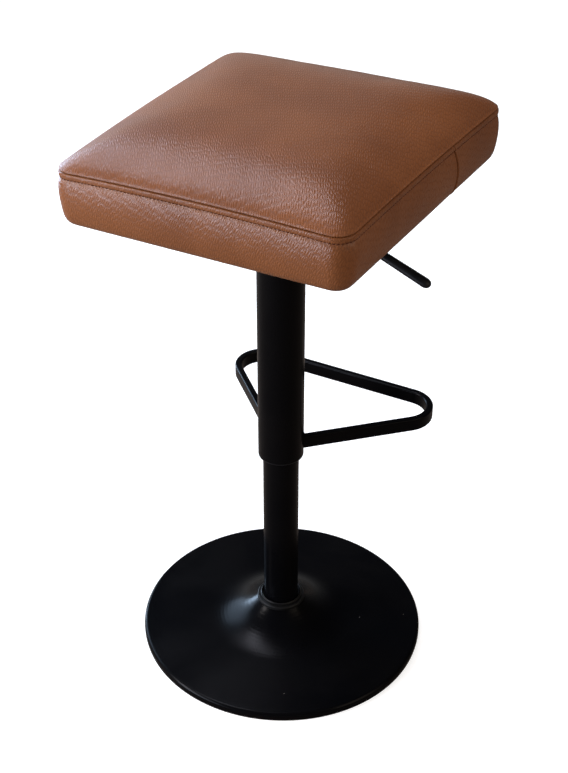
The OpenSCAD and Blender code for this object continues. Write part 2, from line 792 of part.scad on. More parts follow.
module seat_washers() {
    color([0.75, 0.75, 0.75]) screw_places()
        tube(seat_washer_r, screw_r + screw_hole_gap, plate_low - seat_washer_t, plate_low);
}

module seat_screws() {
    head_top = plate_low - seat_washer_t;
    color([0.7, 0.7, 0.7]) screw_places() {
        translate([0, 0, head_top - screw_head_h]) cylinder(r = screw_head_r, h = screw_head_h);
        translate([0, 0, head_top]) cylinder(r = screw_r, h = screw_end - head_top);
    }
}

// Thin black cloth over the underside, holed for the screws
module dust_cover() {
    w = seat_w - 2 * dust_inset;
    d = seat_depth - 2 * dust_inset;
    color([0.07, 0.07, 0.07]) difference() {
        translate([0, 0, dust_top - dust_t]) linear_extrude(dust_t) rounded_rect(w, d, seat_corner_r / 2);
        screw_places() translate([0, 0, dust_top - dust_t - overrun])
            cylinder(r = screw_r + screw_hole_gap, h = dust_t + 2 * overrun);
    }
}

function panel_ring(share, lift) = [for (p = outline(welt_puff))
    let (q = [p[0] * share, p[1] * share])
    [q[0], q[1], seam_h + seam_gap + lift + crown_at(q, share) - drop_at(q)]];
function panel_tip(lift) = [0, 0, seam_h + seam_gap + lift + crown_h];

// Crowned top panel of leather, from its seam to the middle
module top_panel() {
    n = outline_count;
    rings = len(ring_shares);
    points = concat(
        joined([for (s = ring_shares) panel_ring(s, leather_t)]),
        joined([for (s = ring_shares) panel_ring(s, 0)]),
        [panel_tip(leather_t), panel_tip(0)]);
    faces = concat(
        joined([for (k = [0 : rings - 2]) ring_faces(k + 1, k, n)]),
        fan_faces(rings - 1, 2 * rings * n, n, false),
        joined([for (k = [rings : 2 * rings - 2]) ring_faces(k, k + 1, n)]),
        fan_faces(2 * rings - 1, 2 * rings * n + 1, n, true),
        ring_faces(0, rings, n));
    color([0.5, 0.31, 0.2]) polyhedron(points, faces);
}

// Foam core, drawn in with the sides and crowned under the top panel
module foam_pad() {
    n = outline_count;
    side_levels = [
        [low_draw + leather_t + soft_gap, board_top + rest_gap, 0],
        [side_puff + leather_t + soft_gap, seat_low_h + band_h / 2, 0],
        [leather_t + soft_gap, seam_h - band_h / 3, 1],
        [stitch_in + leather_t + 2 * soft_gap, seam_h - stitch_drop, 1],
        [welt_puff + leather_t + 2 * soft_gap, seam_h - welt_drop, 1]];
    top_shares = [for (i = [1 : len(ring_shares) - 1]) ring_shares[i]];
    sides = len(side_levels);
    rings = sides + len(top_shares);
    points = concat(
        joined([for (level = side_levels) level_points(level)]),
        joined([for (s = top_shares) panel_ring(s, -soft_gap)]),
        [[0, 0, board_top + rest_gap], panel_tip(-soft_gap)]);
    faces = concat(
        fan_faces(0, rings * n, n, true),
        joined([for (k = [0 : rings - 2]) ring_faces(k + 1, k, n)]),
        fan_faces(rings - 1, rings * n + 1, n, false));
    color([0.9, 0.85, 0.6]) polyhedron(points, faces);
}

// Part of the side band, from one side seam to the other, turned under the board
module band(first, steps) {
    n = outline_count;
    m = len(band_section);
    columns = [for (i = [0 : steps]) (first + i) % n];
    rings = [for (level = band_section) level_points(level)];
    points = [for (c = columns, level = [0 : m - 1]) rings[level][c]];
    faces = concat(
        [for (i = [0 : steps - 1], j = [0 : m - 1], k = [0, 1])
            let (jj = (j + 1) % m, a = i * m + j, b = i * m + jj, c = (i + 1) * m + jj, d = (i + 1) * m + j)
            k == 0 ? [a, c, b] : [a, d, c]],
        [[for (j = [0 : m - 1]) j]],
        [[for (j = [m - 1 : -1 : 0]) steps * m + j]]);
    color([0.52, 0.32, 0.2]) polyhedron(points, faces);
}

// The side seams stand one step in front of the middle of the sides
module rear_band() {
    band((outline_count - side_steps) / 2 - seam_step, outline_count / 2 + 2 * seam_step);
}

module front_band() {
    band(outline_count - side_steps / 2 + seam_step, outline_count / 2 - 2 * seam_step);
}

floor_ring();
base_dish();
hub_plate();
foot_washers();
foot_bolts();
column_tube();
foot_plate();
column_collar();
guide_bush();
thrust_washer_low();
ball_cage();
thrust_washer_high();
clip_washer();
retaining_clip();
piston_rod();
bump_stop();
piston();
gas_cylinder();
rod_gland();
taper_socket();
sleeve();
glide_ring();
footrest();
mounting_plate();
lever_bracket();
pivot_pin();
release_pin();
lever();
lever_grip();
seat_board();
t_nuts();
seat_washers();
seat_screws();
dust_cover();
foam_pad();
top_panel();
rear_band();
front_band();
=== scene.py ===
import math

import bmesh
import bpy
import numpy as np
from mathutils import Matrix, Vector


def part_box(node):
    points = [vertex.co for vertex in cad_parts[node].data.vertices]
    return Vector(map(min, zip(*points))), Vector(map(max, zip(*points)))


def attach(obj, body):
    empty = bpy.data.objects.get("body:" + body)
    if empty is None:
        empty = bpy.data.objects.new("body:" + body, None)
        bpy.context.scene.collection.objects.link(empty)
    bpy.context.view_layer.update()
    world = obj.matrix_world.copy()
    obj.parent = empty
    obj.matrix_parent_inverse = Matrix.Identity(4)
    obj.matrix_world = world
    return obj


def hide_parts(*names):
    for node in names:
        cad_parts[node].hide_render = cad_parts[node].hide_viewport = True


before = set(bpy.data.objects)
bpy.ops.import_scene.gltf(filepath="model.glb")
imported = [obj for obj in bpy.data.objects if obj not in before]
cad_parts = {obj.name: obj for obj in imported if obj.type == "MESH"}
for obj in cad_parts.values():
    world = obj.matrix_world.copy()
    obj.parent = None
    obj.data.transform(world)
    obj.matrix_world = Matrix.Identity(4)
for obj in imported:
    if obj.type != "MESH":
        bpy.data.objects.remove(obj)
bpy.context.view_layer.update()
bpy.ops.object.select_all(action="DESELECT")
MM = 0.001

# Camera
# Stands behind and to the right of the sitter at the height of a standing person's eyes. Its
# place comes from the rim of the base, the edges of the column and the seam of the seat.
CAMERA_TURN = math.radians(32.552)
CAMERA_TILT = math.radians(90 - 35.011)
CAMERA_ROLL = math.radians(-2.270)
CAMERA_AIM = Vector((-107.056, 0, 368.336)) * MM
CAMERA_DISTANCE = 1907.66 * MM
PHOTO_W, PHOTO_H = 568, 773
EYE_X, EYE_Y = 204, 426.5
FOCAL_PIXELS = 1372.36

bpy.ops.object.camera_add()
camera = bpy.context.object
camera.name = "photo_camera"
camera.matrix_world = (
    Matrix.Rotation(CAMERA_TURN, 4, "Z")
    @ Matrix.Translation(CAMERA_AIM)
    @ Matrix.Rotation(CAMERA_TILT, 4, "X")
    @ Matrix.Translation((0, 0, CAMERA_DISTANCE))
    @ Matrix.Rotation(CAMERA_ROLL, 4, "Z")
)
camera.data.sensor_width = 36
camera.data.lens = camera.data.sensor_width * FOCAL_PIXELS / PHOTO_H
camera.data.shift_x = (PHOTO_W / 2 - EYE_X) / PHOTO_H
camera.data.shift_y = (EYE_Y - PHOTO_H / 2) / PHOTO_H
camera.data.clip_start, camera.data.clip_end = 0.05, 50
camera.data.dof.use_dof = False
bpy.context.scene.camera = camera


# Floor
# A plain white studio floor. Only the camera sees it white, with the stool's soft shadow. The stool
# is lit by a darker and warmer floor, so that its black parts stay black.
def add_node(tree, kind, sockets=(), **settings):
    """Adds a node to the tree, with values or links for its inputs by name or number."""
    made = tree.nodes.new(kind)
    for name, value in settings.items():
        setattr(made, name, value)
    for key, value in dict(sockets).items():
        if isinstance(value, bpy.types.NodeSocket):
            tree.links.new(value, made.inputs[key])
        else:
            made.inputs[key].default_value = value
    return made


def math_of(tree, operation, first, second=0.0):
    """A math node's result."""
    return add_node(tree, "ShaderNodeMath", {0: first, 1: second}, operation=operation).outputs[0]


def seen_ray(tree, gloss_share=1.0):
    """One for rays from the camera or through glass, a share for gloss, and zero for others."""
    ray = add_node(tree, "ShaderNodeLightPath").outputs
    seen = math_of(tree, "MAXIMUM", ray["Is Camera Ray"], ray["Is Transmission Ray"])
    return math_of(tree, "MAXIMUM", seen, math_of(tree, "MULTIPLY", ray["Is Glossy Ray"], gloss_share))


FLOOR_SIZE = 24
FLOOR_GLOW = 0.68
GLOSS_SHARE = 0.03
FLOOR_SHADOW_SHARE = 0.55
FLOOR_LIT = (0.17, 0.13, 0.1)
bpy.ops.mesh.primitive_plane_add(size=FLOOR_SIZE)
floor = bpy.context.object
floor.name = "studio_floor"
floor_white = bpy.data.materials.new("floor_white")
floor_white.use_nodes = True
tree = floor_white.node_tree
tree.nodes.clear()
lit = add_node(tree, "ShaderNodeBsdfDiffuse", {"Color": (*FLOOR_LIT, 1)})
shadowed = add_node(tree, "ShaderNodeBsdfDiffuse", {"Color": (FLOOR_SHADOW_SHARE,) * 3 + (1,)})
glow = add_node(tree, "ShaderNodeEmission", {"Color": (1, 1, 1, 1), "Strength": FLOOR_GLOW})
shown = add_node(tree, "ShaderNodeAddShader", {0: shadowed.outputs[0], 1: glow.outputs[0]})
floor_mix = add_node(tree, "ShaderNodeMixShader", {0: seen_ray(tree, GLOSS_SHARE), 1: lit.outputs[0],
                                                2: shown.outputs[0]})
add_node(tree, "ShaderNodeOutputMaterial", {"Surface": floor_mix.outputs[0]})
floor.data.materials.append(floor_white)


# Studio light
# A cool window at the far left and a skylight lay the pale sheen on the leather, and a low pane lights
# the base. A soft box and a pane below it, left of the camera, light the seat's back, and a warm
# lamp its right side. The pale room darkens overhead and away from the window.
def mapped(tree, value, low, high, to_low=0.0, to_high=1.0):
    """Maps a value from one range to another along a smooth step."""
    return add_node(tree, "ShaderNodeMapRange", {"Value": value, "From Min": low, "From Max": high,
                                                 "To Min": to_low, "To Max": to_high},
                    interpolation_type="SMOOTHSTEP").outputs[0]


AIM_POINT = Vector((0, 0, 0.7))
# Each lamp's place, size, watts and colour
LAMPS = {
    "window": ((-2.1, 0.62, 1.25), (1.2, 1.6), 52, (0.56, 0.75, 1.0)),
    "low_pane": ((-2.1, 0.6, 0.42), (0.4, 0.5), 20, (0.56, 0.75, 1.0)),
    "skylight": ((-1.1, 0.45, 2.85), (1.6, 0.6), 42, (0.86, 0.87, 1.0)),
    "soft_box": ((-2.0, -1.7, 1.6), (0.8, 1.2), 52, (1.0, 0.95, 0.95)),
    "glint": ((-1.45, -2.3, 0.66), (1.6, 0.7), 66, (0.74, 0.82, 1.0)),
    "side_fill": ((2.4, -0.2, 1.6), (1.6, 1.6), 18, (1.0, 0.84, 0.66)),
}
for name, (place, size, watts, colour) in LAMPS.items():
    bpy.ops.object.light_add(type="AREA", location=place)
    light = bpy.context.object
    light.name = name
    light.data.shape = "RECTANGLE"
    light.data.size, light.data.size_y = size
    light.data.energy = watts
    light.data.color = colour
    light.rotation_euler = (AIM_POINT - light.location).to_track_quat("-Z", "Y").to_euler()

ROOM_LEVEL = 0.46
HORIZON_LEVEL, CEILING_LEVEL = 0.9, 0.04
CEILING_FROM = 0.5
WINDOW_SIDE_TO, DARK_SIDE_FROM = -0.55, 0.0
DARK_SIDE_SHARE = 0.2
world = bpy.data.worlds.new("pale_room")
bpy.context.scene.world = world
world.use_nodes = True
tree = world.node_tree
tree.nodes.clear()
room = add_node(tree, "ShaderNodeBackground", {"Color": (1.0, 0.96, 0.92, 1), "Strength": ROOM_LEVEL})
direction = add_node(tree, "ShaderNodeTexCoord").outputs["Generated"]
towards = add_node(tree, "ShaderNodeSeparateXYZ", {0: direction}).outputs
by_height = mapped(tree, towards["Z"], 0.0, CEILING_FROM, HORIZON_LEVEL, CEILING_LEVEL)
by_side = mapped(tree, towards["X"], WINDOW_SIDE_TO, DARK_SIDE_FROM, 1.0, DARK_SIDE_SHARE)
wall = math_of(tree, "MULTIPLY", by_height, by_side)
camera_ray = add_node(tree, "ShaderNodeLightPath").outputs["Is Camera Ray"]
level = math_of(tree, "MAXIMUM", wall, camera_ray)
backdrop = add_node(tree, "ShaderNodeBackground", {"Color": (1, 1, 1, 1), "Strength": level})
world_mix = add_node(tree, "ShaderNodeMixShader", {0: seen_ray(tree), 1: room.outputs[0],
                                                   2: backdrop.outputs[0]})
add_node(tree, "ShaderNodeOutputWorld", {"Surface": world_mix.outputs[0]})
bpy.context.scene.view_settings.view_transform = "Standard"


# Floor ring, collar and bump stop
# Moulded black rubber. The ring grips the rim of the base and keeps it off the floor, and the
# collar covers the neck round the foot of the tube.
def effect_group(name, inputs, outputs):
    """Makes a shader node group with these inputs, vectors or numbers, and these numbers as outputs."""
    group = bpy.data.node_groups.new(name, "ShaderNodeTree")
    for label, value in inputs.items():
        kind = "NodeSocketVector" if isinstance(value, tuple) else "NodeSocketFloat"
        group.interface.new_socket(label, in_out="INPUT", socket_type=kind).default_value = value
    for label in outputs:
        group.interface.new_socket(label, in_out="OUTPUT", socket_type="NodeSocketFloat")
    entry = add_node(group, "NodeGroupInput")
    end = add_node(group, "NodeGroupOutput")
    return group, entry.outputs, end.inputs


def noise_of(tree, coords, scale, detail=2.0, distortion=0.0):
    """A noise texture's value."""
    return add_node(tree, "ShaderNodeTexNoise", {"Vector": coords, "Scale": scale, "Detail": detail,
                                                 "Distortion": distortion}).outputs[0]


def mix_colour(tree, share, first, second):
    """A mix of two colours."""
    return add_node(tree, "ShaderNodeMix", {0: share, 6: first, 7: second}, data_type="RGBA").outputs[2]


def new_material(name, roughness, specular=0.5, metallic=0.0):
    """Makes a material and returns it with its tree, its shader and its object coordinates."""
    material = bpy.data.materials.new(name)
    material.use_nodes = True
    tree = material.node_tree
    shader = tree.nodes["Principled BSDF"]
    shader.inputs["Roughness"].default_value = roughness
    shader.inputs["Specular IOR Level"].default_value = specular
    shader.inputs["Metallic"].default_value = metallic
    coords = add_node(tree, "ShaderNodeTexCoord").outputs["Object"]
    return material, tree, shader, coords


def add_bump(tree, shader, height, depth):
    """Feeds a height to the shader's normal, with a real depth."""
    bump = add_node(tree, "ShaderNodeBump", {"Height": height, "Distance": depth, "Strength": 1.0})
    tree.links.new(bump.outputs[0], shader.inputs["Normal"])


def dress(nodes, material):
    """Gives a material to CAD nodes."""
    for name in nodes:
        for material_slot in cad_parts[name].material_slots:
            material_slot.material = material


speckle, entry, end = effect_group(
    "Speckle", {"Vector": (0, 0, 0), "Fine Scale": 1500.0, "Cloud Scale": 12.0}, ["Height", "Cloud"])
fine = noise_of(speckle, entry["Vector"], entry["Fine Scale"], detail=3.0)
cloud = noise_of(speckle, entry["Vector"], entry["Cloud Scale"], detail=4.0, distortion=0.6)
speckle.links.new(fine, end["Height"])
speckle.links.new(mapped(speckle, cloud, 0.3, 0.7), end["Cloud"])


def speckled(name, dark, light, rough, fine_scale, cloud_scale, depth, specular=0.5, metallic=0.0):
    """A material whose colour and gloss drift between two values, with a fine speckled relief."""
    material, tree, shader, coords = new_material(name, rough[0], specular, metallic)
    grain = add_node(tree, "ShaderNodeGroup", {"Vector": coords, "Fine Scale": fine_scale,
                                               "Cloud Scale": cloud_scale}, node_tree=speckle)
    shade = grain.outputs["Cloud"]
    tree.links.new(mix_colour(tree, shade, (*dark, 1), (*light, 1)), shader.inputs["Base Color"])
    tree.links.new(mapped(tree, shade, 0, 1, *rough), shader.inputs["Roughness"])
    add_bump(tree, shader, grain.outputs["Height"], depth)
    return material, tree, shader


black_rubber = speckled("black_rubber", (0.003, 0.003, 0.003), (0.006, 0.006, 0.006), rough=(0.42, 0.52),
                        fine_scale=2200, cloud_scale=40, depth=0.04 * MM, specular=0.14)[0]
dress(["floor_ring", "column_collar", "bump_stop"], black_rubber)

# Base dish, column tube, sleeve, footrest, mounting plate and lever
# Steel parts with one satin black powder coat, baked on after welding. The coat has a fine orange
# peel, and a few specks of dust have settled on what faces up.
settled_dust, entry, end = effect_group(
    "Settled Dust", {"Vector": (0, 0, 0), "Scale": 38.0, "Speck Size": 0.02, "Share": 0.34}, ["Mask"])
specks = add_node(settled_dust, "ShaderNodeTexVoronoi",
                  {"Vector": entry["Vector"], "Scale": entry["Scale"]})
small = math_of(settled_dust, "LESS_THAN", specks.outputs["Distance"], entry["Speck Size"])
pick = add_node(settled_dust, "ShaderNodeSeparateColor", {0: specks.outputs["Color"]}).outputs[0]
chosen = math_of(settled_dust, "LESS_THAN", pick, entry["Share"])
facing = add_node(settled_dust, "ShaderNodeSeparateXYZ",
                  {0: add_node(settled_dust, "ShaderNodeNewGeometry").outputs["Normal"]}).outputs["Z"]
up = math_of(settled_dust, "GREATER_THAN", facing, 0.7)
dust_mask = math_of(settled_dust, "MULTIPLY", math_of(settled_dust, "MULTIPLY", small, chosen), up)
settled_dust.links.new(dust_mask, end["Mask"])

satin_black, tree, shader = speckled("satin_black", (0.0012, 0.0013, 0.0018), (0.0022, 0.0021, 0.0024),
                                     rough=(0.2, 0.27), fine_scale=900, cloud_scale=6, depth=0.02 * MM,
                                     specular=0.06)
coords = tree.nodes["Texture Coordinate"].outputs["Object"]
dust = add_node(tree, "ShaderNodeGroup", {"Vector": coords}, node_tree=settled_dust)
coat_colour = shader.inputs["Base Color"].links[0].from_socket
tree.links.new(mix_colour(tree, dust.outputs["Mask"], coat_colour, (0.22, 0.2, 0.18, 1)),
               shader.inputs["Base Color"])
dress(["base_dish", "column_tube", "sleeve", "footrest", "mounting_plate", "lever"], satin_black)


# Footrest welds
# A fillet bead goes round each end of the bar where it meets the sleeve, laid by hand in short
# ripples and coated with the rest.
def rounded_outline(half_x, half_y, corner_r, travel):
    """The point of a rounded rectangle at a distance along it, and the way out from it."""
    for side in range(4):
        turn = Matrix.Rotation(side * math.pi / 2, 3, "Z")
        reach, half_run = (half_x, half_y) if side % 2 == 0 else (half_y, half_x)
        run = 2 * (half_run - corner_r)
        if travel <= run:
            return turn @ Vector((reach, travel - run / 2, 0)), turn @ Vector((1, 0, 0))
        travel -= run
        if travel <= corner_r * math.pi / 2:
            out = turn @ Matrix.Rotation(travel / corner_r, 3, "Z") @ Vector((1, 0, 0))
            return turn @ Vector((reach - corner_r, run / 2, 0)) + out * corner_r, out
        travel -= corner_r * math.pi / 2
    return rounded_outline(half_x, half_y, corner_r, travel)


SLEEVE_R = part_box("sleeve")[1].x
BAR_W, BAR_H, BAR_CORNER = 10 * MM, 20 * MM, 2.2 * MM
BAR_MID_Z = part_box("footrest")[1].z - BAR_H / 2
REST_REACH, REST_HALF_W = 189 * MM, 197 * MM
ARM_ANGLE = math.atan2(REST_REACH, REST_HALF_W)
BAR_ROUND = 2 * (BAR_W + BAR_H) - (8 - math.tau) * BAR_CORNER
BEAD_R = 1.9 * MM
BEAD_RIPPLES, RIPPLE_SHARE = 26, 0.14
BEAD_STEPS, BEAD_SIDES = 104, 10
BLANK_TUBE_R = 0.5
for name, sign in (("right_weld", 1), ("left_weld", -1)):
    bpy.ops.object.select_all(action="DESELECT")
    bpy.ops.mesh.primitive_torus_add(major_segments=BEAD_STEPS, minor_segments=BEAD_SIDES,
                                     major_radius=1, minor_radius=BLANK_TUBE_R)
    bead = bpy.context.object
    bead.name = name
    along = Vector((sign * math.cos(ARM_ANGLE), math.sin(ARM_ANGLE), 0))
    across = Vector((0, 0, 1)).cross(along)
    for point in bead.data.vertices:
        turned = math.atan2(point.co.y, point.co.x) % math.tau
        swell = BEAD_R * (1 + RIPPLE_SHARE * math.sin(turned * BEAD_RIPPLES))
        outward = (point.co.xy.length - 1) / BLANK_TUBE_R * swell
        forward = point.co.z / BLANK_TUBE_R * swell
        edge, out = rounded_outline(BAR_W / 2, BAR_H / 2, BAR_CORNER, BAR_ROUND * turned / math.tau)
        edge += out * outward
        reach = math.sqrt(SLEEVE_R ** 2 - edge.x ** 2) + forward
        point.co = along * reach + across * edge.x + Vector((0, 0, BAR_MID_Z + edge.y))
    bead.data.materials.append(satin_black)
    bpy.ops.object.mode_set(mode="EDIT")
    bpy.ops.mesh.select_all(action="SELECT")
    bpy.ops.mesh.normals_make_consistent(inside=False)
    bpy.ops.object.mode_set(mode="OBJECT")
    bpy.ops.object.shade_smooth()
    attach(bead, "seat")

# Hub plate, foot plate, socket and lever bracket
# Plain mild steel, left bare inside the base and the sleeve, with rolling marks and a little oil.
brushed, entry, end = effect_group(
    "Drawn Lines", {"Vector": (0, 0, 0), "Stretch": (1, 1, 12), "Scale": 260.0}, ["Height"])
stretched = add_node(brushed, "ShaderNodeVectorMath", {0: entry["Vector"], 1: entry["Stretch"]},
                     operation="DIVIDE").outputs[0]
brushed.links.new(noise_of(brushed, stretched, entry["Scale"], detail=4.0), end["Height"])


def drawn_metal(name, dark, light, rough, stretch, scale, depth):
    """Metal with drawn or turned lines along one direction."""
    material, tree, shader, coords = new_material(name, rough[0], metallic=1.0)
    lines = add_node(tree, "ShaderNodeGroup", {"Vector": coords, "Stretch": stretch, "Scale": scale},
                     node_tree=brushed)
    height = lines.outputs["Height"]
    tree.links.new(mix_colour(tree, height, (*dark, 1), (*light, 1)), shader.inputs["Base Color"])
    tree.links.new(mapped(tree, height, 0.3, 0.7, *rough), shader.inputs["Roughness"])
    add_bump(tree, shader, height, depth)
    return material


plain_steel = drawn_metal("plain_steel", (0.24, 0.23, 0.22), (0.42, 0.41, 0.4), rough=(0.35, 0.55),
                          stretch=(1, 9, 1), scale=300, depth=0.01 * MM)
dress(["hub_plate", "foot_plate", "taper_socket", "lever_bracket"], plain_steel)

# Bolts, washers, T-nuts and pivot pin
# Steel fasteners with bright zinc plating, faintly blue with a yellow cast in places.
zinc = speckled("zinc", (0.52, 0.55, 0.6), (0.68, 0.67, 0.6), rough=(0.26, 0.4),
                fine_scale=1800, cloud_scale=90, depth=0.008 * MM, metallic=1.0)[0]
dress(["foot_washers", "clip_washer", "pivot_pin", "t_nuts", "seat_washers"], zinc)

# Foot bolts
# Four cold-headed hexagon bolts hold the tube's foot down on the hub plate. The corners of their
# heads are chamfered.
HEAD_SIDES = 36
FOOT_HEAD_R, FOOT_HEAD_H, FOOT_SHANK_R, FOOT_RING_R = 5.8 * MM, 4 * MM, 3 * MM, 16.5 * MM
CHAMFER_LOW = 0.1 * MM
TOLERANCE = 0.01 * MM


def hexagon_reach(place, corner_r):
    """How far out a hexagon's side lies in the direction of a place."""
    turned = math.atan2(place.y, place.x) % (math.pi / 3) - math.pi / 6
    return corner_r * math.cos(math.pi / 6) / math.cos(turned)


def select_only(piece):
    """Selects one piece, makes it active and deselects everything else."""
    bpy.ops.object.select_all(action="DESELECT")
    piece.select_set(True)
    bpy.context.view_layer.objects.active = piece


def select_faces(piece, keeps):
    """Puts a piece in edit mode with only the faces selected that keeps accepts."""
    bpy.ops.object.mode_set(mode="EDIT")
    bpy.ops.mesh.select_mode(type="FACE")
    bpy.ops.mesh.select_all(action="DESELECT")
    bpy.ops.object.mode_set(mode="OBJECT")
    for face in piece.data.polygons:
        face.select = keeps(face)
    bpy.ops.object.mode_set(mode="EDIT")


def headed_blank(name, head_r, head_h, shank_r, shank_len):
    """A round head with its shank standing on it, its underside at the origin."""
    bpy.ops.object.select_all(action="DESELECT")
    bpy.ops.mesh.primitive_cylinder_add(vertices=HEAD_SIDES, radius=head_r, depth=head_h,
                                        location=(0, 0, head_h / 2))
    blank = bpy.context.object
    blank.name = name
    bpy.ops.object.transform_apply(location=True, rotation=False, scale=False)
    select_faces(blank, lambda face: face.normal.z > 0.9)
    bpy.ops.mesh.inset(thickness=head_r - shank_r)
    bpy.ops.mesh.extrude_region_move(TRANSFORM_OT_translate={"value": (0, 0, shank_len)})
    bpy.ops.object.mode_set(mode="OBJECT")
    return blank


def set_at(piece, places):
    """Sets copies of a piece at places, each with its turn, and joins them."""
    copies = []
    for place, turn in places:
        select_only(piece)
        bpy.ops.object.duplicate()
        copies.append(bpy.context.object)
        copies[-1].location = place
        copies[-1].rotation_euler.z = turn
    piece.location, piece.rotation_euler.z = copies[0].location, copies[0].rotation_euler.z
    bpy.data.objects.remove(copies.pop(0))
    select_only(piece)
    for copy in copies:
        copy.select_set(True)
    bpy.ops.object.join()
    bpy.ops.object.transform_apply(location=True, rotation=True, scale=True)
    bpy.ops.object.shade_smooth_by_angle(angle=math.radians(30))


foot_low, foot_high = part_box("foot_bolts")
bolts = headed_blank("foot_bolts_hex", FOOT_HEAD_R, FOOT_HEAD_H, FOOT_SHANK_R,
                     foot_high.z - foot_low.z - FOOT_HEAD_H)
flat_r = FOOT_HEAD_R * math.cos(math.pi / 6)
select_faces(bolts, lambda face: face.normal.z < -0.9 and face.center.z < FOOT_HEAD_H / 2)
bpy.ops.mesh.inset(thickness=FOOT_HEAD_R - flat_r + CHAMFER_LOW)
bpy.ops.object.mode_set(mode="OBJECT")
for point in bolts.data.vertices:
    if point.co.xy.length > FOOT_HEAD_R - TOLERANCE:
        point.co.xy = point.co.xy.normalized() * hexagon_reach(point.co, FOOT_HEAD_R)
        if point.co.z < FOOT_HEAD_H / 2:
            point.co.z = CHAMFER_LOW + (point.co.xy.length - flat_r) * math.tan(math.pi / 6)
set_at(bolts, [(Vector((FOOT_RING_R * math.cos(a), FOOT_RING_R * math.sin(a), foot_low.z)), 0)
               for a in (math.pi / 4 * n for n in (1, 3, 5, 7))])
bolts.data.materials.append(zinc)
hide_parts("foot_bolts")
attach(bolts, "base")

# Thrust bearing and clip
# Ground bearing steel washers, a brass cage with its balls, and a spring clip blued in oil.
bearing_steel = drawn_metal("bearing_steel", (0.55, 0.55, 0.56), (0.7, 0.7, 0.7), rough=(0.14, 0.22),
                            stretch=(6, 1, 1), scale=700, depth=0.003 * MM)
dress(["thrust_washer_low", "thrust_washer_high"], bearing_steel)
cage_brass = drawn_metal("cage_brass", (0.55, 0.36, 0.12), (0.72, 0.5, 0.2), rough=(0.22, 0.34),
                         stretch=(6, 1, 1), scale=500, depth=0.004 * MM)
dress(["ball_cage"], cage_brass)
spring_steel = speckled("spring_steel", (0.05, 0.055, 0.075), (0.1, 0.1, 0.12), rough=(0.3, 0.45),
                        fine_scale=1500, cloud_scale=150, depth=0.006 * MM, metallic=1.0)[0]
dress(["retaining_clip"], spring_steel)

# Piston rod and release pin
# Hard chromed steel, ground and polished to seal in the gland.
hard_chrome = drawn_metal("hard_chrome", (0.72, 0.73, 0.75), (0.82, 0.83, 0.84), rough=(0.06, 0.12),
                          stretch=(1, 1, 0.2), scale=900, depth=0.001 * MM)
dress(["piston_rod", "release_pin"], hard_chrome)

# Piston and gland
# Turned brass inside the cylinder.
valve_brass = drawn_metal("valve_brass", (0.5, 0.36, 0.15), (0.68, 0.5, 0.24), rough=(0.2, 0.32),
                          stretch=(1, 1, 0.1), scale=600, depth=0.004 * MM)
dress(["piston", "rod_gland"], valve_brass)

# Gas cylinder
# A drawn steel tube with a thin black enamel. The socket grips it on the taper at its upper end.
cylinder_black = speckled("cylinder_black", (0.012, 0.012, 0.013), (0.022, 0.022, 0.024),
                          rough=(0.22, 0.32), fine_scale=700, cloud_scale=30, depth=0.01 * MM)[0]
dress(["gas_cylinder"], cylinder_black)

# Guide bush
# White acetal, turned from bar, in which the cylinder slides.
white_acetal = speckled("white_acetal", (0.72, 0.71, 0.66), (0.8, 0.79, 0.75), rough=(0.32, 0.45),
                        fine_scale=1600, cloud_scale=60, depth=0.008 * MM)[0]
dress(["guide_bush"], white_acetal)

# Glide ring
# A black plastic moulding with a fine spark-eroded texture, clipped in the sleeve's lower end.
black_plastic = speckled("black_plastic", (0.004, 0.004, 0.005), (0.007, 0.007, 0.008),
                         rough=(0.38, 0.48), fine_scale=2600, cloud_scale=50, depth=0.03 * MM,
                         specular=0.2)[0]
dress(["glide_ring"], black_plastic)

# Lever grip
# A black plastic handle pushed on the rod. It is slim at its root and fuller towards its round tip.
GRIP_LEN, GRIP_DROOP = 92 * MM, math.radians(22)
GRIP_ROOT, GRIP_FULL = (5.9 * MM, 4.9 * MM), (7.5 * MM, 5.7 * MM)
GRIP_FILL_CURVE = 0.8
GRIP_SIDES = 28
TIP_LEN, TIP_STEPS, BODY_STEPS = 8 * MM, 8, 6
TIP_HOLE = 0.02 * MM
grip_stations = [(GRIP_LEN - TIP_LEN) * step / BODY_STEPS for step in range(BODY_STEPS + 1)]
grip_stations += [GRIP_LEN - TIP_LEN * (1 - math.sin(math.pi / 2 * step / TIP_STEPS))
                  for step in range(1, TIP_STEPS)] + [GRIP_LEN - TIP_HOLE]


def grip_girth(station):
    """Half width and half height of the grip at a distance from its root."""
    fill = min(1, station / (GRIP_LEN - TIP_LEN)) ** GRIP_FILL_CURVE
    tip = max(0, (station - GRIP_LEN + TIP_LEN) / TIP_LEN)
    close = math.sqrt(max(0, 1 - tip * tip))
    return [(root + (full - root) * fill) * close for root, full in zip(GRIP_ROOT, GRIP_FULL)]


bpy.ops.object.select_all(action="DESELECT")
bpy.ops.mesh.primitive_circle_add(vertices=GRIP_SIDES, radius=1, fill_type="NGON")
grip = bpy.context.object
grip.name = "moulded_grip"
grip.scale = (*grip_girth(0), 1)
bpy.ops.object.transform_apply(location=False, rotation=False, scale=True)
bpy.ops.object.mode_set(mode="EDIT")
bpy.ops.mesh.select_all(action="SELECT")
for here, after in zip(grip_stations, grip_stations[1:]):
    bpy.ops.mesh.extrude_region_move(TRANSFORM_OT_translate={"value": (0, 0, after - here)})
    (here_w, here_h), (after_w, after_h) = grip_girth(here), grip_girth(after)
    bpy.ops.transform.resize(value=(after_w / here_w, after_h / here_h, 1), center_override=(0, 0, after))
bpy.ops.mesh.select_all(action="SELECT")
bpy.ops.mesh.normals_make_consistent(inside=False)
bpy.ops.object.mode_set(mode="OBJECT")
grip_low, grip_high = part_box("lever_grip")
down = math.pi / 2 + GRIP_DROOP
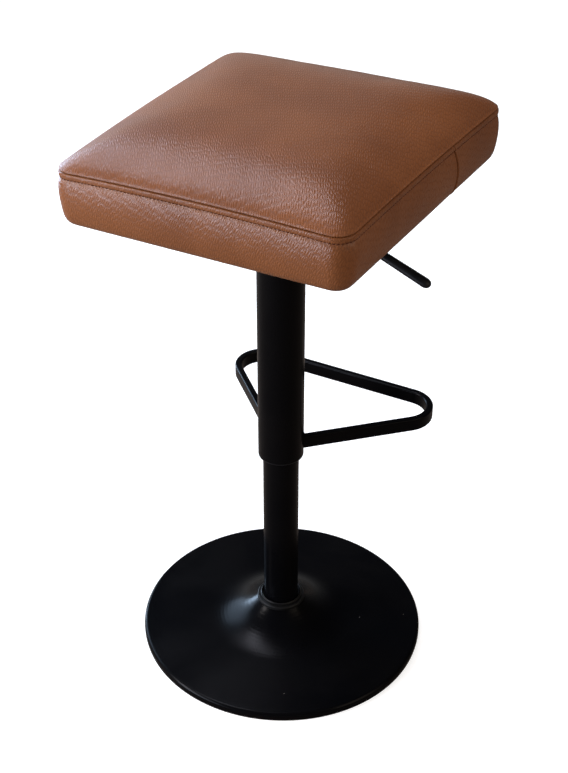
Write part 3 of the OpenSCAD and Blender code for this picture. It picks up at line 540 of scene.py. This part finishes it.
grip.matrix_world = (Matrix.Translation((grip_low + grip_high) / 2) @ Matrix.Rotation(down, 4, "Y")
                     @ Matrix.Rotation(math.pi / 2, 4, "Z") @ Matrix.Translation((0, 0, -GRIP_LEN / 2)))
bpy.ops.object.transform_apply(location=True, rotation=True, scale=True)
bpy.ops.object.shade_smooth_by_angle(angle=math.radians(50))
grip.data.materials.append(black_plastic)
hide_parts("lever_grip")
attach(grip, "lever")

# Seat board
# Poplar plywood, its veneers showing at the edge as light and dark layers.
VENEER_T, VENEER_CONTRAST = 2.6 * MM, 0.45
WOOD_SCALES = (140.0, 9.0, 500.0)
plywood, tree, shader, coords = new_material("plywood", 0.7)
split = add_node(tree, "ShaderNodeSeparateXYZ", {0: coords})
layer = math_of(tree, "MULTIPLY", split.outputs["Z"], 1 / VENEER_T)
veneer = math_of(tree, "PINGPONG", layer, 1.0)
stretch = add_node(tree, "ShaderNodeVectorMath", {0: coords, 1: WOOD_SCALES}, operation="MULTIPLY")
grain_lines = noise_of(tree, stretch.outputs[0], scale=1.0, detail=5.0, distortion=0.5)
wood = mix_colour(tree, mapped(tree, grain_lines, 0.35, 0.7), (0.52, 0.36, 0.2, 1), (0.68, 0.52, 0.33, 1))
dark_layer = math_of(tree, "MULTIPLY", mapped(tree, veneer, 0.4, 0.6), VENEER_CONTRAST)
tree.links.new(mix_colour(tree, dark_layer, wood, (0.3, 0.19, 0.1, 1)), shader.inputs["Base Color"])
add_bump(tree, shader, grain_lines, 0.1 * MM)
dress(["seat_board"], plywood)

# Leather skin, before it is cut into panels
# The cover follows the seam's rounded rectangle: a crowned top, a rolled edge down into the seam's
# groove, the folded welt under it, the stitched dip, and sides that draw in and turn under.
SEAM_OUT = 0.6 * MM
HALF_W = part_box("top_panel")[1].x + SEAM_OUT
HALF_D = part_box("top_panel")[1].y + SEAM_OUT
SEAT_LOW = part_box("rear_band")[0].z
CROWN_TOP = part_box("top_panel")[1].z
CORNER_R = 24 * MM
BAND_H = 76 * MM
CORNER_DROP = 4 * MM
DROP_FROM, DROP_SPAN = 0.45, 0.4
SEAM_H = SEAT_LOW + BAND_H
SKIN_LIFT = 0.4 * MM
PLUMP = 10 * MM
CROWN_H = CROWN_TOP - SEAM_H - SKIN_LIFT + PLUMP
SHOULDER_H = 17 * MM
SQUARENESS, SHOULDER_REACH, SHOULDER_CURVE = 20, 7, 0.75
ROUND_SHARE = 0.3
FRONT_FLARE, FRONT_EASE = 9 * MM, 7 * MM
LEATHER_T = 1.5 * MM
TOP_GRAIN_TURN = math.radians(26)
SIDE_GRAIN_TURN = math.radians(20)
GRID_CELL = 4.9 * MM
ROLL = 2.2 * MM
INNER_W, INNER_D, INNER_R = HALF_W - ROLL, HALF_D - ROLL, CORNER_R - ROLL
PUFF = 3.5 * MM

# Inset from the seam's outline and height above the underside, in millimetres: the edge of the top
ROLLED_EDGE = [(1.2, 76.1), (0.5, 75.7), (0.3, 75.2), (0.9, 74.8), (2.4, 74.6), (4.5, 74.35)]
# The side from the groove over the welt and the stitched dip to the turned-under edge
SIDE_PROFILE = [
    (4.5, 74.25), (2.2, 74.0), (0.9, 73.8), (-0.2, 73.3), (-0.7, 72.3), (-0.75, 70.3), (-0.65, 68.1),
    (-0.2, 67.2), (1.2, 66.4), (0.3, 65.2), (-0.7, 62.5), (-1.5, 58.0), (-2.0, 53.0), (-2.2, 48.0),
    (-2.3, 43.0), (-2.2, 38.0), (-1.9, 33.0), (-1.5, 28.0), (-1.0, 23.5), (-0.4, 19.0), (0.5, 14.5),
    (1.7, 10.3), (3.5, 6.6), (6.0, 3.6), (9.4, 1.4), (13.5, 0.2), (20.0, 0.0), (28.0, 0.0), (38.0, 0.0)]


def outline_at(co):
    """The nearest point of the seam's outline to a point of the skin, and the way out from it."""
    sx, sy = math.copysign(1, co.x), math.copysign(1, co.y)
    off_x, off_y = abs(co.x) - (HALF_W - CORNER_R), abs(co.y) - (HALF_D - CORNER_R)
    if off_x > 0 and off_y > 0:
        out = Vector((sx * off_x, sy * off_y, 0)).normalized()
        return Vector((sx * (HALF_W - CORNER_R), sy * (HALF_D - CORNER_R), 0)) + out * CORNER_R, out
    if off_x > off_y:
        return Vector((sx * HALF_W, co.y, 0)), Vector((sx, 0, 0))
    return Vector((co.x, sy * HALF_D, 0)), Vector((0, sy, 0))


def corner_fall(co):
    """How far the seam drops towards the corners."""
    return CORNER_DROP * (co.x * co.y / (HALF_W * HALF_D)) ** 2


def crown_at(co):
    """Height of the crowned top above its edge: a round shoulder inside the seam and a low dome."""
    u, v = abs(co.x) / INNER_W, abs(co.y) / INNER_D
    reach = min(1, (u ** SQUARENESS + v ** SQUARENESS) ** (1 / SQUARENESS))
    shoulder = SHOULDER_H * (1 - reach ** SHOULDER_REACH) ** SHOULDER_CURVE
    dome = ROUND_SHARE * (1 - u * u) * (1 - v * v) + (1 - ROUND_SHARE) * (1 - u ** 4) * (1 - v ** 4)
    return shoulder + (CROWN_H - SHOULDER_H) * dome


def flared(co):
    """Widens and eases the cushion towards the front, where the foam fills it out most."""
    ahead = (co[1] / HALF_D + 1) / 2
    return Vector((co[0] * (1 + FRONT_FLARE / HALF_W * ahead), co[1] + FRONT_EASE * ahead, co[2]))


def side_place(co, level):
    """Where a point of the skin lies on a level of the profile."""
    inset, rise = level[0] * MM, level[1] * MM
    edge, out = outline_at(co)
    place = edge - out * inset
    fade = min(1, max(0, (rise / BAND_H - DROP_FROM) / DROP_SPAN))
    place.z = SEAT_LOW + rise - corner_fall(edge) * fade * fade * (3 - 2 * fade)
    return place


def side_run(side):
    """Length of a straight side, where 0 to 3 are the right, the front, the left and the rear."""
    return 2 * ((HALF_D, HALF_W)[side % 2] - CORNER_R)


def travel_of(edge, out):
    """Distance along the seam's outline, anticlockwise from the rear end of the right side."""
    turned = math.atan2(out.y, out.x) % math.tau
    quarters = turned / (math.pi / 2)
    on_corner = abs(out.x * out.y) > 1e-9
    side = round(quarters - 0.5 + 1e-6) if on_corner else round(quarters)
    travel = sum(side_run(i) + CORNER_R * math.pi / 2 for i in range(side % 4))
    if on_corner:
        return travel + side_run(side) + CORNER_R * (turned - side * math.pi / 2)
    along = Matrix.Rotation(side * math.pi / 2, 3, "Z") @ Vector((0, 1, 0))
    return travel + edge.dot(along) + side_run(side) / 2


PERIMETER = sum(side_run(i) + CORNER_R * math.pi / 2 for i in range(4))
UNFLARED_SEAM_Y = (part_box("rear_band")[1].y - FRONT_EASE / 2) / (1 + FRONT_EASE / (2 * HALF_D))
LEFT_SEAM_AT = 1.5 * side_run(0) + side_run(1) + CORNER_R * math.pi - UNFLARED_SEAM_Y

bpy.ops.mesh.primitive_grid_add(x_subdivisions=round(2 * INNER_W / GRID_CELL),
                                y_subdivisions=round(2 * INNER_D / GRID_CELL), size=2)
skin = bpy.context.object
skin.name = "leather_skin"
mesh = bmesh.new()
mesh.from_mesh(skin.data)
pattern = mesh.loops.layers.uv.verify()
pattern_x = mesh.verts.layers.float.new("pattern_x")
pattern_y = mesh.verts.layers.float.new("pattern_y")
row = mesh.verts.layers.int.new("row")
for point in mesh.verts:
    x, y = point.co.x * INNER_W, point.co.y * INNER_D
    point[pattern_x], point[pattern_y] = x, y
    off_x, off_y = abs(x) - (INNER_W - INNER_R), abs(y) - (INNER_D - INNER_R)
    if off_x > 0 and off_y > 0:
        rounded = Vector((off_x, off_y)).normalized() * max(off_x, off_y)
        x = math.copysign(INNER_W - INNER_R + rounded.x, x)
        y = math.copysign(INNER_D - INNER_R + rounded.y, y)
    point.co = Vector((x, y, 0))
    slack = PUFF * max(0, 1 - (x / INNER_W) ** 2) * max(0, 1 - (y / INNER_D) ** 2)
    point.co.z = SEAM_H + SKIN_LIFT + crown_at(point.co) - corner_fall(point.co) - slack

edges = [e for e in mesh.edges if e.is_boundary]
ring_size = len(edges)
for number, level in enumerate(ROLLED_EDGE + SIDE_PROFILE, start=1):
    if level == SIDE_PROFILE[0]:
        top_faces = len(mesh.faces)
    made = bmesh.ops.extrude_edge_only(mesh, edges=edges)["geom"]
    edges = [e for e in made if isinstance(e, bmesh.types.BMEdge) and e.is_boundary]
    for point in (v for v in made if isinstance(v, bmesh.types.BMVert)):
        place = side_place(point.co, level)
        edge, out = outline_at(place)
        step = (place - point.co).length
        point.co = place
        point[row] = number
        if number <= len(ROLLED_EDGE):
            point[pattern_x] += out.x * step
            point[pattern_y] += out.y * step
        else:
            point[pattern_x] = (travel_of(edge, out) - LEFT_SEAM_AT) % PERIMETER
            point[pattern_y] = 0 if level == SIDE_PROFILE[0] else point[pattern_y] + step
mesh.faces.ensure_lookup_table()
for face in mesh.faces:
    flat = [Vector((corner.vert[pattern_x], corner.vert[pattern_y])) for corner in face.loops]
    wraps = max(p.x for p in flat) - min(p.x for p in flat) > PERIMETER / 2
    turn = Matrix.Rotation(-(TOP_GRAIN_TURN if face.index < top_faces else SIDE_GRAIN_TURN), 2)
    for corner, place in zip(face.loops, flat):
        if wraps and place.x < PERIMETER / 2:
            place.x += PERIMETER
        corner[pattern].uv = turn @ place
for point in mesh.verts:
    point.co = flared(point.co)
bmesh.ops.recalc_face_normals(mesh, faces=mesh.faces)
rows = [point[row] for point in mesh.verts]
mesh.to_mesh(skin.data)
mesh.free()

# The cushion is blown up against its seams, as the foam does it: the crown and the sides are free,
# and the rolled edge, the welt, the stitched dip and the turned-under edge are held. Then the moves
# are evened out, because thick leather makes no small creases.
SIDE_FREE_FROM, SIDE_FREE_TO = 11, 21
FREE_FROM, FREE_TO = len(ROLLED_EDGE) + SIDE_FREE_FROM, len(ROLLED_EDGE) + SIDE_FREE_TO
SIM_FRAMES, SIM_QUALITY = 20, 6
SKIN_PRESSURE, SKIN_SLACK = 4, -0.008
MOVE_CAP = 6 * MM
EVEN_PASSES = 14
held = skin.vertex_groups.new(name="held")
held.add([i for i, r in enumerate(rows) if r > 0 and not FREE_FROM <= r <= FREE_TO], 1, "REPLACE")
cloth = skin.modifiers.new("cover", "CLOTH")
cloth.settings.vertex_group_mass = held.name
cloth.settings.quality = SIM_QUALITY
cloth.settings.use_pressure = True
cloth.settings.uniform_pressure_force = SKIN_PRESSURE
cloth.settings.shrink_min = SKIN_SLACK
cloth.settings.effector_weights.gravity = 0
cloth.collision_settings.use_collision = False
for number in range(1, SIM_FRAMES + 1):
    bpy.context.scene.frame_set(number)
blown = skin.evaluated_get(bpy.context.evaluated_depsgraph_get())
pairs = zip(skin.data.vertices, blown.data.vertices)
moves = np.array([after.co - before.co for before, after in pairs])
skin.modifiers.remove(cloth)
moves *= MOVE_CAP / (MOVE_CAP + np.linalg.norm(moves, axis=1))[:, None]
loose = np.array([r == 0 or FREE_FROM <= r <= FREE_TO for r in rows])[:, None]
ends = np.array([e.vertices[:] for e in skin.data.edges])
met = np.bincount(ends.ravel(), minlength=len(moves))[:, None]
for _ in range(EVEN_PASSES):
    around = np.zeros_like(moves)
    np.add.at(around, ends[:, 0], moves[ends[:, 1]])
    np.add.at(around, ends[:, 1], moves[ends[:, 0]])
    moves = loose * (moves + around / met) / 2
for point, move in zip(skin.data.vertices, moves):
    point.co += Vector(move)
bpy.context.scene.frame_set(1)


def cut_from_skin(name, keeps):
    """A piece with the skin's faces whose numbers keeps accepts, as a mesh in edit."""
    piece = bpy.data.objects.new(name, skin.data.copy())
    bpy.context.scene.collection.objects.link(piece)
    mesh = bmesh.new()
    mesh.from_mesh(piece.data)
    spare = [face for face in mesh.faces if not keeps(face.index)]
    bmesh.ops.delete(mesh, geom=spare, context="FACES")
    return piece, mesh


def apply_modifier(piece, kind, **settings):
    """Adds a modifier with these settings to the active piece and applies it."""
    bpy.ops.object.modifier_add(type=kind)
    added = piece.modifiers[-1]
    for name, value in settings.items():
        setattr(added, name, value)
    bpy.ops.object.modifier_apply(modifier=added.name)


def finish_leather(piece, mesh):
    """Gives a leather panel its thickness and one subdivision."""
    mesh.to_mesh(piece.data)
    mesh.free()
    select_only(piece)
    apply_modifier(piece, "SOLIDIFY", thickness=LEATHER_T)
    apply_modifier(piece, "SUBSURF", levels=1, render_levels=1)
    bpy.ops.object.shade_smooth()
    piece.data.materials.clear()
    piece.data.materials.append(brown_leather)
    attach(piece, "seat")


# Leather
# Corrected cowhide with an embossed grain: long pebbles about three by nine millimetres, small
# creases between them, and painted shade that darkens the colour in the creases.
PEBBLE_W, PEBBLE_L = 2.7 * MM, 9.0 * MM
PEBBLE_WANDER, PEBBLE_DISORDER = 0.8 * MM, 0.75
LITTLE_WEIGHT, RIPPLE_WEIGHT, PORE_WEIGHT = 0.15, 0.15, 0.1
leather_grain, entry, end = effect_group(
    "Leather Grain",
    {"Vector": (0, 0, 0), "Pebble": (PEBBLE_W, PEBBLE_L, 1), "Wander": PEBBLE_WANDER},
    ["Height", "Crease", "Cloud"])
drift = add_node(leather_grain, "ShaderNodeTexNoise",
                 {"Vector": entry["Vector"], "Scale": 160.0, "Detail": 2.0})
centred = add_node(leather_grain, "ShaderNodeVectorMath", {0: drift.outputs["Color"], 1: (0.5, 0.5, 0.5)},
                   operation="SUBTRACT").outputs[0]
wander = add_node(leather_grain, "ShaderNodeVectorMath", {0: centred, "Scale": entry["Wander"]},
                  operation="SCALE").outputs[0]
moved = add_node(leather_grain, "ShaderNodeVectorMath", {0: entry["Vector"], 1: wander}).outputs[0]
cells = add_node(leather_grain, "ShaderNodeVectorMath", {0: moved, 1: entry["Pebble"]},
                 operation="DIVIDE").outputs[0]
pebble = add_node(leather_grain, "ShaderNodeTexVoronoi",
                  {"Vector": cells, "Scale": 1.0, "Randomness": PEBBLE_DISORDER},
                  feature="DISTANCE_TO_EDGE", voronoi_dimensions="2D").outputs["Distance"]
small_pebble = add_node(leather_grain, "ShaderNodeTexVoronoi", {"Vector": cells, "Scale": 2.3},
                        feature="DISTANCE_TO_EDGE", voronoi_dimensions="2D").outputs["Distance"]
big = mapped(leather_grain, pebble, 0.0, 0.5)
little = mapped(leather_grain, small_pebble, 0.0, 0.25)
pores = noise_of(leather_grain, entry["Vector"], scale=1500.0)
ripple = mapped(leather_grain, noise_of(leather_grain, cells, scale=0.9, detail=1.0), 0.3, 0.7)
relief = big
for part, weight in ((little, LITTLE_WEIGHT), (ripple, RIPPLE_WEIGHT), (pores, PORE_WEIGHT)):
    weighted = math_of(leather_grain, "MULTIPLY", part, weight)
    relief = math_of(leather_grain, "ADD", relief, weighted)
cloud = noise_of(leather_grain, entry["Vector"], scale=9.0, detail=4.0, distortion=0.4)
leather_grain.links.new(relief, end["Height"])
leather_grain.links.new(mapped(leather_grain, pebble, 0.0, 0.15, 1.0, 0.0), end["Crease"])
leather_grain.links.new(mapped(leather_grain, cloud, 0.3, 0.7), end["Cloud"])

# The hide's two tones, and a dark colour that is painted shade for the creases
HIDE_DARK, HIDE_LIGHT, CREASE_SHADE_COLOUR = (0.160, 0.052, 0.016), (0.198, 0.067, 0.021), (0.066, 0.020, 0.007)
CREASE_SHADE_SHARE = 0.4
GRAIN_DEPTH = 0.27 * MM
brown_leather, tree, shader, coords = new_material("brown_leather", 0.32, specular=0.32)
pattern_place = add_node(tree, "ShaderNodeTexCoord").outputs["UV"]
grain = add_node(tree, "ShaderNodeGroup", {"Vector": pattern_place}, node_tree=leather_grain)
hide = mix_colour(tree, grain.outputs["Cloud"], (*HIDE_DARK, 1), (*HIDE_LIGHT, 1))
# Painted shade: the crease mask mixes the dark colour into the creases
painted_crease_shade = math_of(tree, "MULTIPLY", grain.outputs["Crease"], CREASE_SHADE_SHARE)
tree.links.new(mix_colour(tree, painted_crease_shade, hide, (*CREASE_SHADE_COLOUR, 1)), shader.inputs["Base Color"])
tree.links.new(mapped(tree, grain.outputs["Crease"], 0, 1, 0.35, 0.46), shader.inputs["Roughness"])
add_bump(tree, shader, grain.outputs["Height"], GRAIN_DEPTH)

# Top panel
# One crowned panel of leather, its edge rolled down and sewn to the side bands in the groove.
top_leather, mesh = cut_from_skin("top_leather", lambda number: number < top_faces)
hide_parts("top_panel")
finish_leather(top_leather, mesh)

# Side bands
# Two bands of leather go round the sides and meet in upright seams a little in front of the middle.
# Each is folded and topstitched at the top, turned in at the seams, and turned under the board.
SIDE_SEAM_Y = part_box("rear_band")[1].y
SEAM_CUTS = (0, 1.2 * MM, 2.6 * MM, 4.2 * MM)
SEAM_BOW, SEAM_LEAN, SEAM_SWAY = 3 * MM, 14 * MM, 30 * MM
SEAM_GAP, SEWN_GAP = 1.0 * MM, 0.05 * MM
SEAM_TURN = 2.2 * MM
CLOSED_FROM, CLOSED_SPAN = 0.86, 0.04
LIP_RISE, LIP_AT, LIP_SPREAD = 1.3 * MM, 1.7 * MM, 1.3 * MM
LIP_TO, LIP_FOOT, LIP_GROWTH = 0.9, 0.2, 4
for name, node, sign in (("rear_leather", "rear_band", -1), ("front_leather", "front_band", 1)):
    band, mesh = cut_from_skin(name, lambda number: number >= top_faces + ring_size)
    for offset in SEAM_CUTS:
        bmesh.ops.bisect_plane(mesh, geom=mesh.verts[:] + mesh.edges[:] + mesh.faces[:],
                               plane_co=(0, SIDE_SEAM_Y + sign * (SEAM_GAP / 2 + offset), 0),
                               plane_no=(0, -sign, 0), clear_outer=offset == 0)
    cut = [e for e in mesh.edges if e.is_boundary
           and all(abs(v.co.y - SIDE_SEAM_Y - sign * SEAM_GAP / 2) < 1e-6 for v in e.verts)]
    mesh.normal_update()
    made = bmesh.ops.extrude_edge_only(mesh, edges=cut)["geom"]
    turned = {v for v in made if isinstance(v, bmesh.types.BMVert)}
    outward = {v: v.normal.copy() for v in mesh.verts}
    for point in mesh.verts:
        rise = (point.co.z - SEAT_LOW) / BAND_H
        near = abs(point.co.y - SIDE_SEAM_Y)
        if point in turned:
            beside = (e.other_vert(point) for e in point.link_edges)
            source = min((v for v in beside if v not in turned), key=lambda v: (v.co - point.co).length)
            point.co -= outward[source] * SEAM_TURN
            point.co.y -= sign * (SEAM_GAP / 2 - SEWN_GAP)
        elif sign > 0 and rise < LIP_TO:
            bulge = LIP_RISE * math.exp(-((near - LIP_AT) / LIP_SPREAD) ** 2)
            point.co += outward[point] * bulge * min(1, LIP_GROWTH * rise + LIP_FOOT)
    for point in mesh.verts:
        rise = min(1, max(0, (point.co.z - SEAT_LOW) / BAND_H))
        near = abs(point.co.y - SIDE_SEAM_Y)
        closing = min(1, max(0, (rise - CLOSED_FROM) / CLOSED_SPAN))
        if near < SEAM_GAP:
            point.co.y -= sign * closing * (near - SEWN_GAP)
        sway = SEAM_BOW * math.sin(math.pi * rise) + SEAM_LEAN * (1 - rise)
        point.co.y += sway * math.exp(-(near / SEAM_SWAY) ** 2)
    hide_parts(node)
    finish_leather(band, mesh)

# Topstitching
# Dark brown polyester thread, a stitch every five millimetres, sunk in the dip under the welt.
STITCH_PITCH = 5 * MM
STITCH_LEN, STITCH_H, STITCH_T = 3.6 * MM, 2.0 * MM, 1.1 * MM
STITCH_SINK = 0.9
STITCH_LEVEL = (0.4, 66.6)
thread_brown = speckled("thread_brown", (0.052, 0.015, 0.008), (0.085, 0.026, 0.013), rough=(0.6, 0.75),
                        fine_scale=3500, cloud_scale=60, depth=0.05 * MM, specular=0.08)[0]
bpy.ops.mesh.primitive_uv_sphere_add(segments=8, ring_count=6, radius=1, rotation=(0, math.pi / 2, 0))
bpy.ops.object.transform_apply(location=False, rotation=True, scale=False)
stitch = bpy.context.object
stitch.name = "topstitching"
one = np.array([v.co for v in stitch.data.vertices])
one[:, 2] -= STITCH_SINK * np.abs(one[:, 0]) ** 3
one *= (STITCH_LEN / 2, STITCH_H / 2, STITCH_T / 2)
faces_of_one = [list(f.vertices) for f in stitch.data.polygons]
count = round(PERIMETER / STITCH_PITCH)
points, faces = [], []
for number in range(count):
    edge, out = rounded_outline(HALF_W, HALF_D, CORNER_R, PERIMETER * number / count)
    place = side_place(edge, STITCH_LEVEL)
    along = Vector((0, 0, 1)).cross(out)
    turn = np.array([along, Vector((0, 0, 1)), out])
    faces += [[i + len(points) for i in face] for face in faces_of_one]
    points += [tuple(p @ turn + np.array(flared(place))) for p in one]
stitch.data.clear_geometry()
stitch.data.from_pydata(points, [], faces)
bpy.ops.object.shade_smooth()
stitch.data.materials.append(thread_brown)
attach(stitch, "seat")

# Foam core
# One block of cut foam under the leather, glued to the board.
foam_yellow = speckled("foam", (0.62, 0.52, 0.3), (0.72, 0.62, 0.4), rough=(0.85, 0.95),
                       fine_scale=1400, cloud_scale=20, depth=0.4 * MM)[0]
BOARD_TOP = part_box("seat_board")[1].z
FOAM_GAP, GLUE_T, FOAM_CELL = 0.9 * MM, 0.2 * MM, 5 * MM
foam, mesh = cut_from_skin("foam_core", lambda number: True)
mesh.normal_update()
for point in mesh.verts:
    point.co -= point.normal * (LEATHER_T + FOAM_GAP)
bmesh.ops.bisect_plane(mesh, geom=mesh.verts[:] + mesh.edges[:] + mesh.faces[:],
                       plane_co=(0, 0, BOARD_TOP + GLUE_T), plane_no=(0, 0, -1), clear_outer=True)
bmesh.ops.holes_fill(mesh, edges=[e for e in mesh.edges if e.is_boundary])
bmesh.ops.recalc_face_normals(mesh, faces=mesh.faces)
mesh.to_mesh(foam.data)
mesh.free()
select_only(foam)
apply_modifier(foam, "REMESH", mode="VOXEL", voxel_size=FOAM_CELL)
apply_modifier(foam, "SMOOTH", iterations=4)
bpy.ops.object.shade_smooth()
foam.data.materials.clear()
foam.data.materials.append(foam_yellow)
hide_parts("foam_pad")
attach(foam, "seat")
bpy.data.objects.remove(skin)

# Dust cover
# Black spun-bonded cloth, folded in at its edge and stapled over the turned-under leather. The
# mounting plate presses it flat, and it sags a little between the plate and the staples.
COVER_W, COVER_D = 2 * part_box("dust_cover")[1].x, 2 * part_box("dust_cover")[1].y
COVER_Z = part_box("dust_cover")[1].z
PLATE_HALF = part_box("mounting_plate")[1].x
COVER_T = 0.4 * MM
COVER_CELLS = (84, 94)
HEM_W, HEM_T = 9 * MM, 0.35 * MM
SAG = 1.6 * MM
SAG_FROM_PLATE, SAG_FROM_HEM = 25 * MM, 18 * MM
WAVE_X, WAVE_Y, WAVE_SKEW, WAVE_START = 13 * MM, 17 * MM, 41 * MM, 1.3
black_nonwoven, tree, shader, coords = new_material("black_nonwoven", 0.85, specular=0.15)
bonds = add_node(tree, "ShaderNodeTexVoronoi", {"Vector": coords, "Scale": 650.0, "Randomness": 0.25})
fibres = noise_of(tree, coords, scale=900.0, detail=5.0, distortion=2.0)
weave = math_of(tree, "ADD", mapped(tree, bonds.outputs["Distance"], 0.1, 0.4),
                math_of(tree, "MULTIPLY", fibres, 0.8))
tree.links.new(mix_colour(tree, fibres, (0.008, 0.008, 0.008, 1), (0.03, 0.03, 0.03, 1)),
               shader.inputs["Base Color"])
add_bump(tree, shader, weave, 0.15 * MM)
bpy.ops.mesh.primitive_grid_add(x_subdivisions=COVER_CELLS[0], y_subdivisions=COVER_CELLS[1], size=2)
cover = bpy.context.object
cover.name = "underside_cloth"
for point in cover.data.vertices:
    x, y = point.co.x * COVER_W / 2, point.co.y * COVER_D / 2
    edge_gap = min(COVER_W / 2 - abs(x), COVER_D / 2 - abs(y))
    plate_gap = max(0, abs(x) - PLATE_HALF, abs(y) - PLATE_HALF)
    free = min(1, plate_gap / SAG_FROM_PLATE) * min(1, max(0, edge_gap - HEM_W) / SAG_FROM_HEM)
    ripple = 0.5 + 0.25 * math.sin(x / WAVE_X + WAVE_START) + 0.25 * math.sin(y / WAVE_Y + x / WAVE_SKEW)
    hem = HEM_T if edge_gap < HEM_W else 0
    point.co = (x, y, COVER_Z - SAG * free * free * ripple - hem)
apply_modifier(cover, "SOLIDIFY", thickness=COVER_T)
bpy.ops.object.shade_smooth()
cover.data.materials.append(black_nonwoven)
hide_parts("dust_cover")
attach(cover, "seat")

# Staples
# Bright wire staples, shot through the folded edge of the cover into the board about every 45 mm.
STAPLE_LEN, STAPLE_WIRE, STAPLE_PITCH, STAPLE_INSET = 11 * MM, 0.9 * MM, 45 * MM, 5 * MM
STAPLE_DROP, STAPLE_SLEW = 0.95 * MM, math.radians(5)
bpy.ops.object.select_all(action="DESELECT")
bpy.ops.mesh.primitive_cube_add(size=1)
staples = bpy.context.object
staples.name = "cover_staples"
staples.scale = (STAPLE_LEN, STAPLE_WIRE, 0.7 * STAPLE_WIRE)
bpy.ops.object.transform_apply(location=False, rotation=False, scale=True)
apply_modifier(staples, "BEVEL", width=0.25 * STAPLE_WIRE)
staple_places = []
for side in range(4):
    reach, run = ((COVER_W, COVER_D), (COVER_D, COVER_W))[side % 2]
    quarter = Matrix.Rotation(side * math.pi / 2, 3, "Z")
    shots = round(run / STAPLE_PITCH)
    for shot in range(shots):
        place = quarter @ Vector((reach / 2 - STAPLE_INSET, run * ((shot + 0.5) / shots - 0.5), 0))
        place.z = COVER_Z - STAPLE_DROP
        slew = STAPLE_SLEW * math.sin(5.1 * shot + 1.7 * side)
        staple_places.append((place, (side + 1) * math.pi / 2 + slew))
set_at(staples, staple_places)
staples.data.materials.append(zinc)
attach(staples, "seat")

# Seat screws
# Four zinc-plated screws with round heads and hexagon sockets, driven up through the plate into
# the T-nuts.
SCREW_HEAD_R, SCREW_HEAD_H, SCREW_SHANK_R = 5.5 * MM, 4 * MM, 3 * MM
SOCKET_R, SOCKET_DEPTH, SCREW_EDGE = 2.9 * MM, 2.4 * MM, 0.8 * MM
screw_low, screw_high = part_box("seat_screws")
screws = headed_blank("seat_screws_socket", SCREW_HEAD_R, SCREW_HEAD_H, SCREW_SHANK_R,
                      screw_high.z - screw_low.z - SCREW_HEAD_H)
select_faces(screws, lambda face: face.normal.z < -0.9 and face.center.z < SCREW_HEAD_H / 2)
bpy.ops.mesh.inset(thickness=SCREW_EDGE)
bpy.ops.mesh.inset(thickness=SCREW_HEAD_R - SCREW_EDGE - SOCKET_R)
bpy.ops.mesh.extrude_region_move(TRANSFORM_OT_translate={"value": (0, 0, SOCKET_DEPTH)})
bpy.ops.object.mode_set(mode="OBJECT")
for point in screws.data.vertices:
    out_r = point.co.xy.length
    if out_r < SOCKET_R + TOLERANCE and point.co.z < SCREW_HEAD_H:
        point.co.xy = point.co.xy.normalized() * hexagon_reach(point.co, SOCKET_R)
    elif out_r > SCREW_HEAD_R - TOLERANCE and point.co.z < SCREW_HEAD_H / 2:
        point.co.z = SCREW_EDGE
screw_reach = screw_high.x - SCREW_HEAD_R
set_at(screws, [(Vector((x, y, screw_low.z)), math.atan2(y, x))
                for x in (-screw_reach, screw_reach) for y in (-screw_reach, screw_reach)])
screws.data.materials.append(zinc)
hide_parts("seat_screws")
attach(screws, "seat")
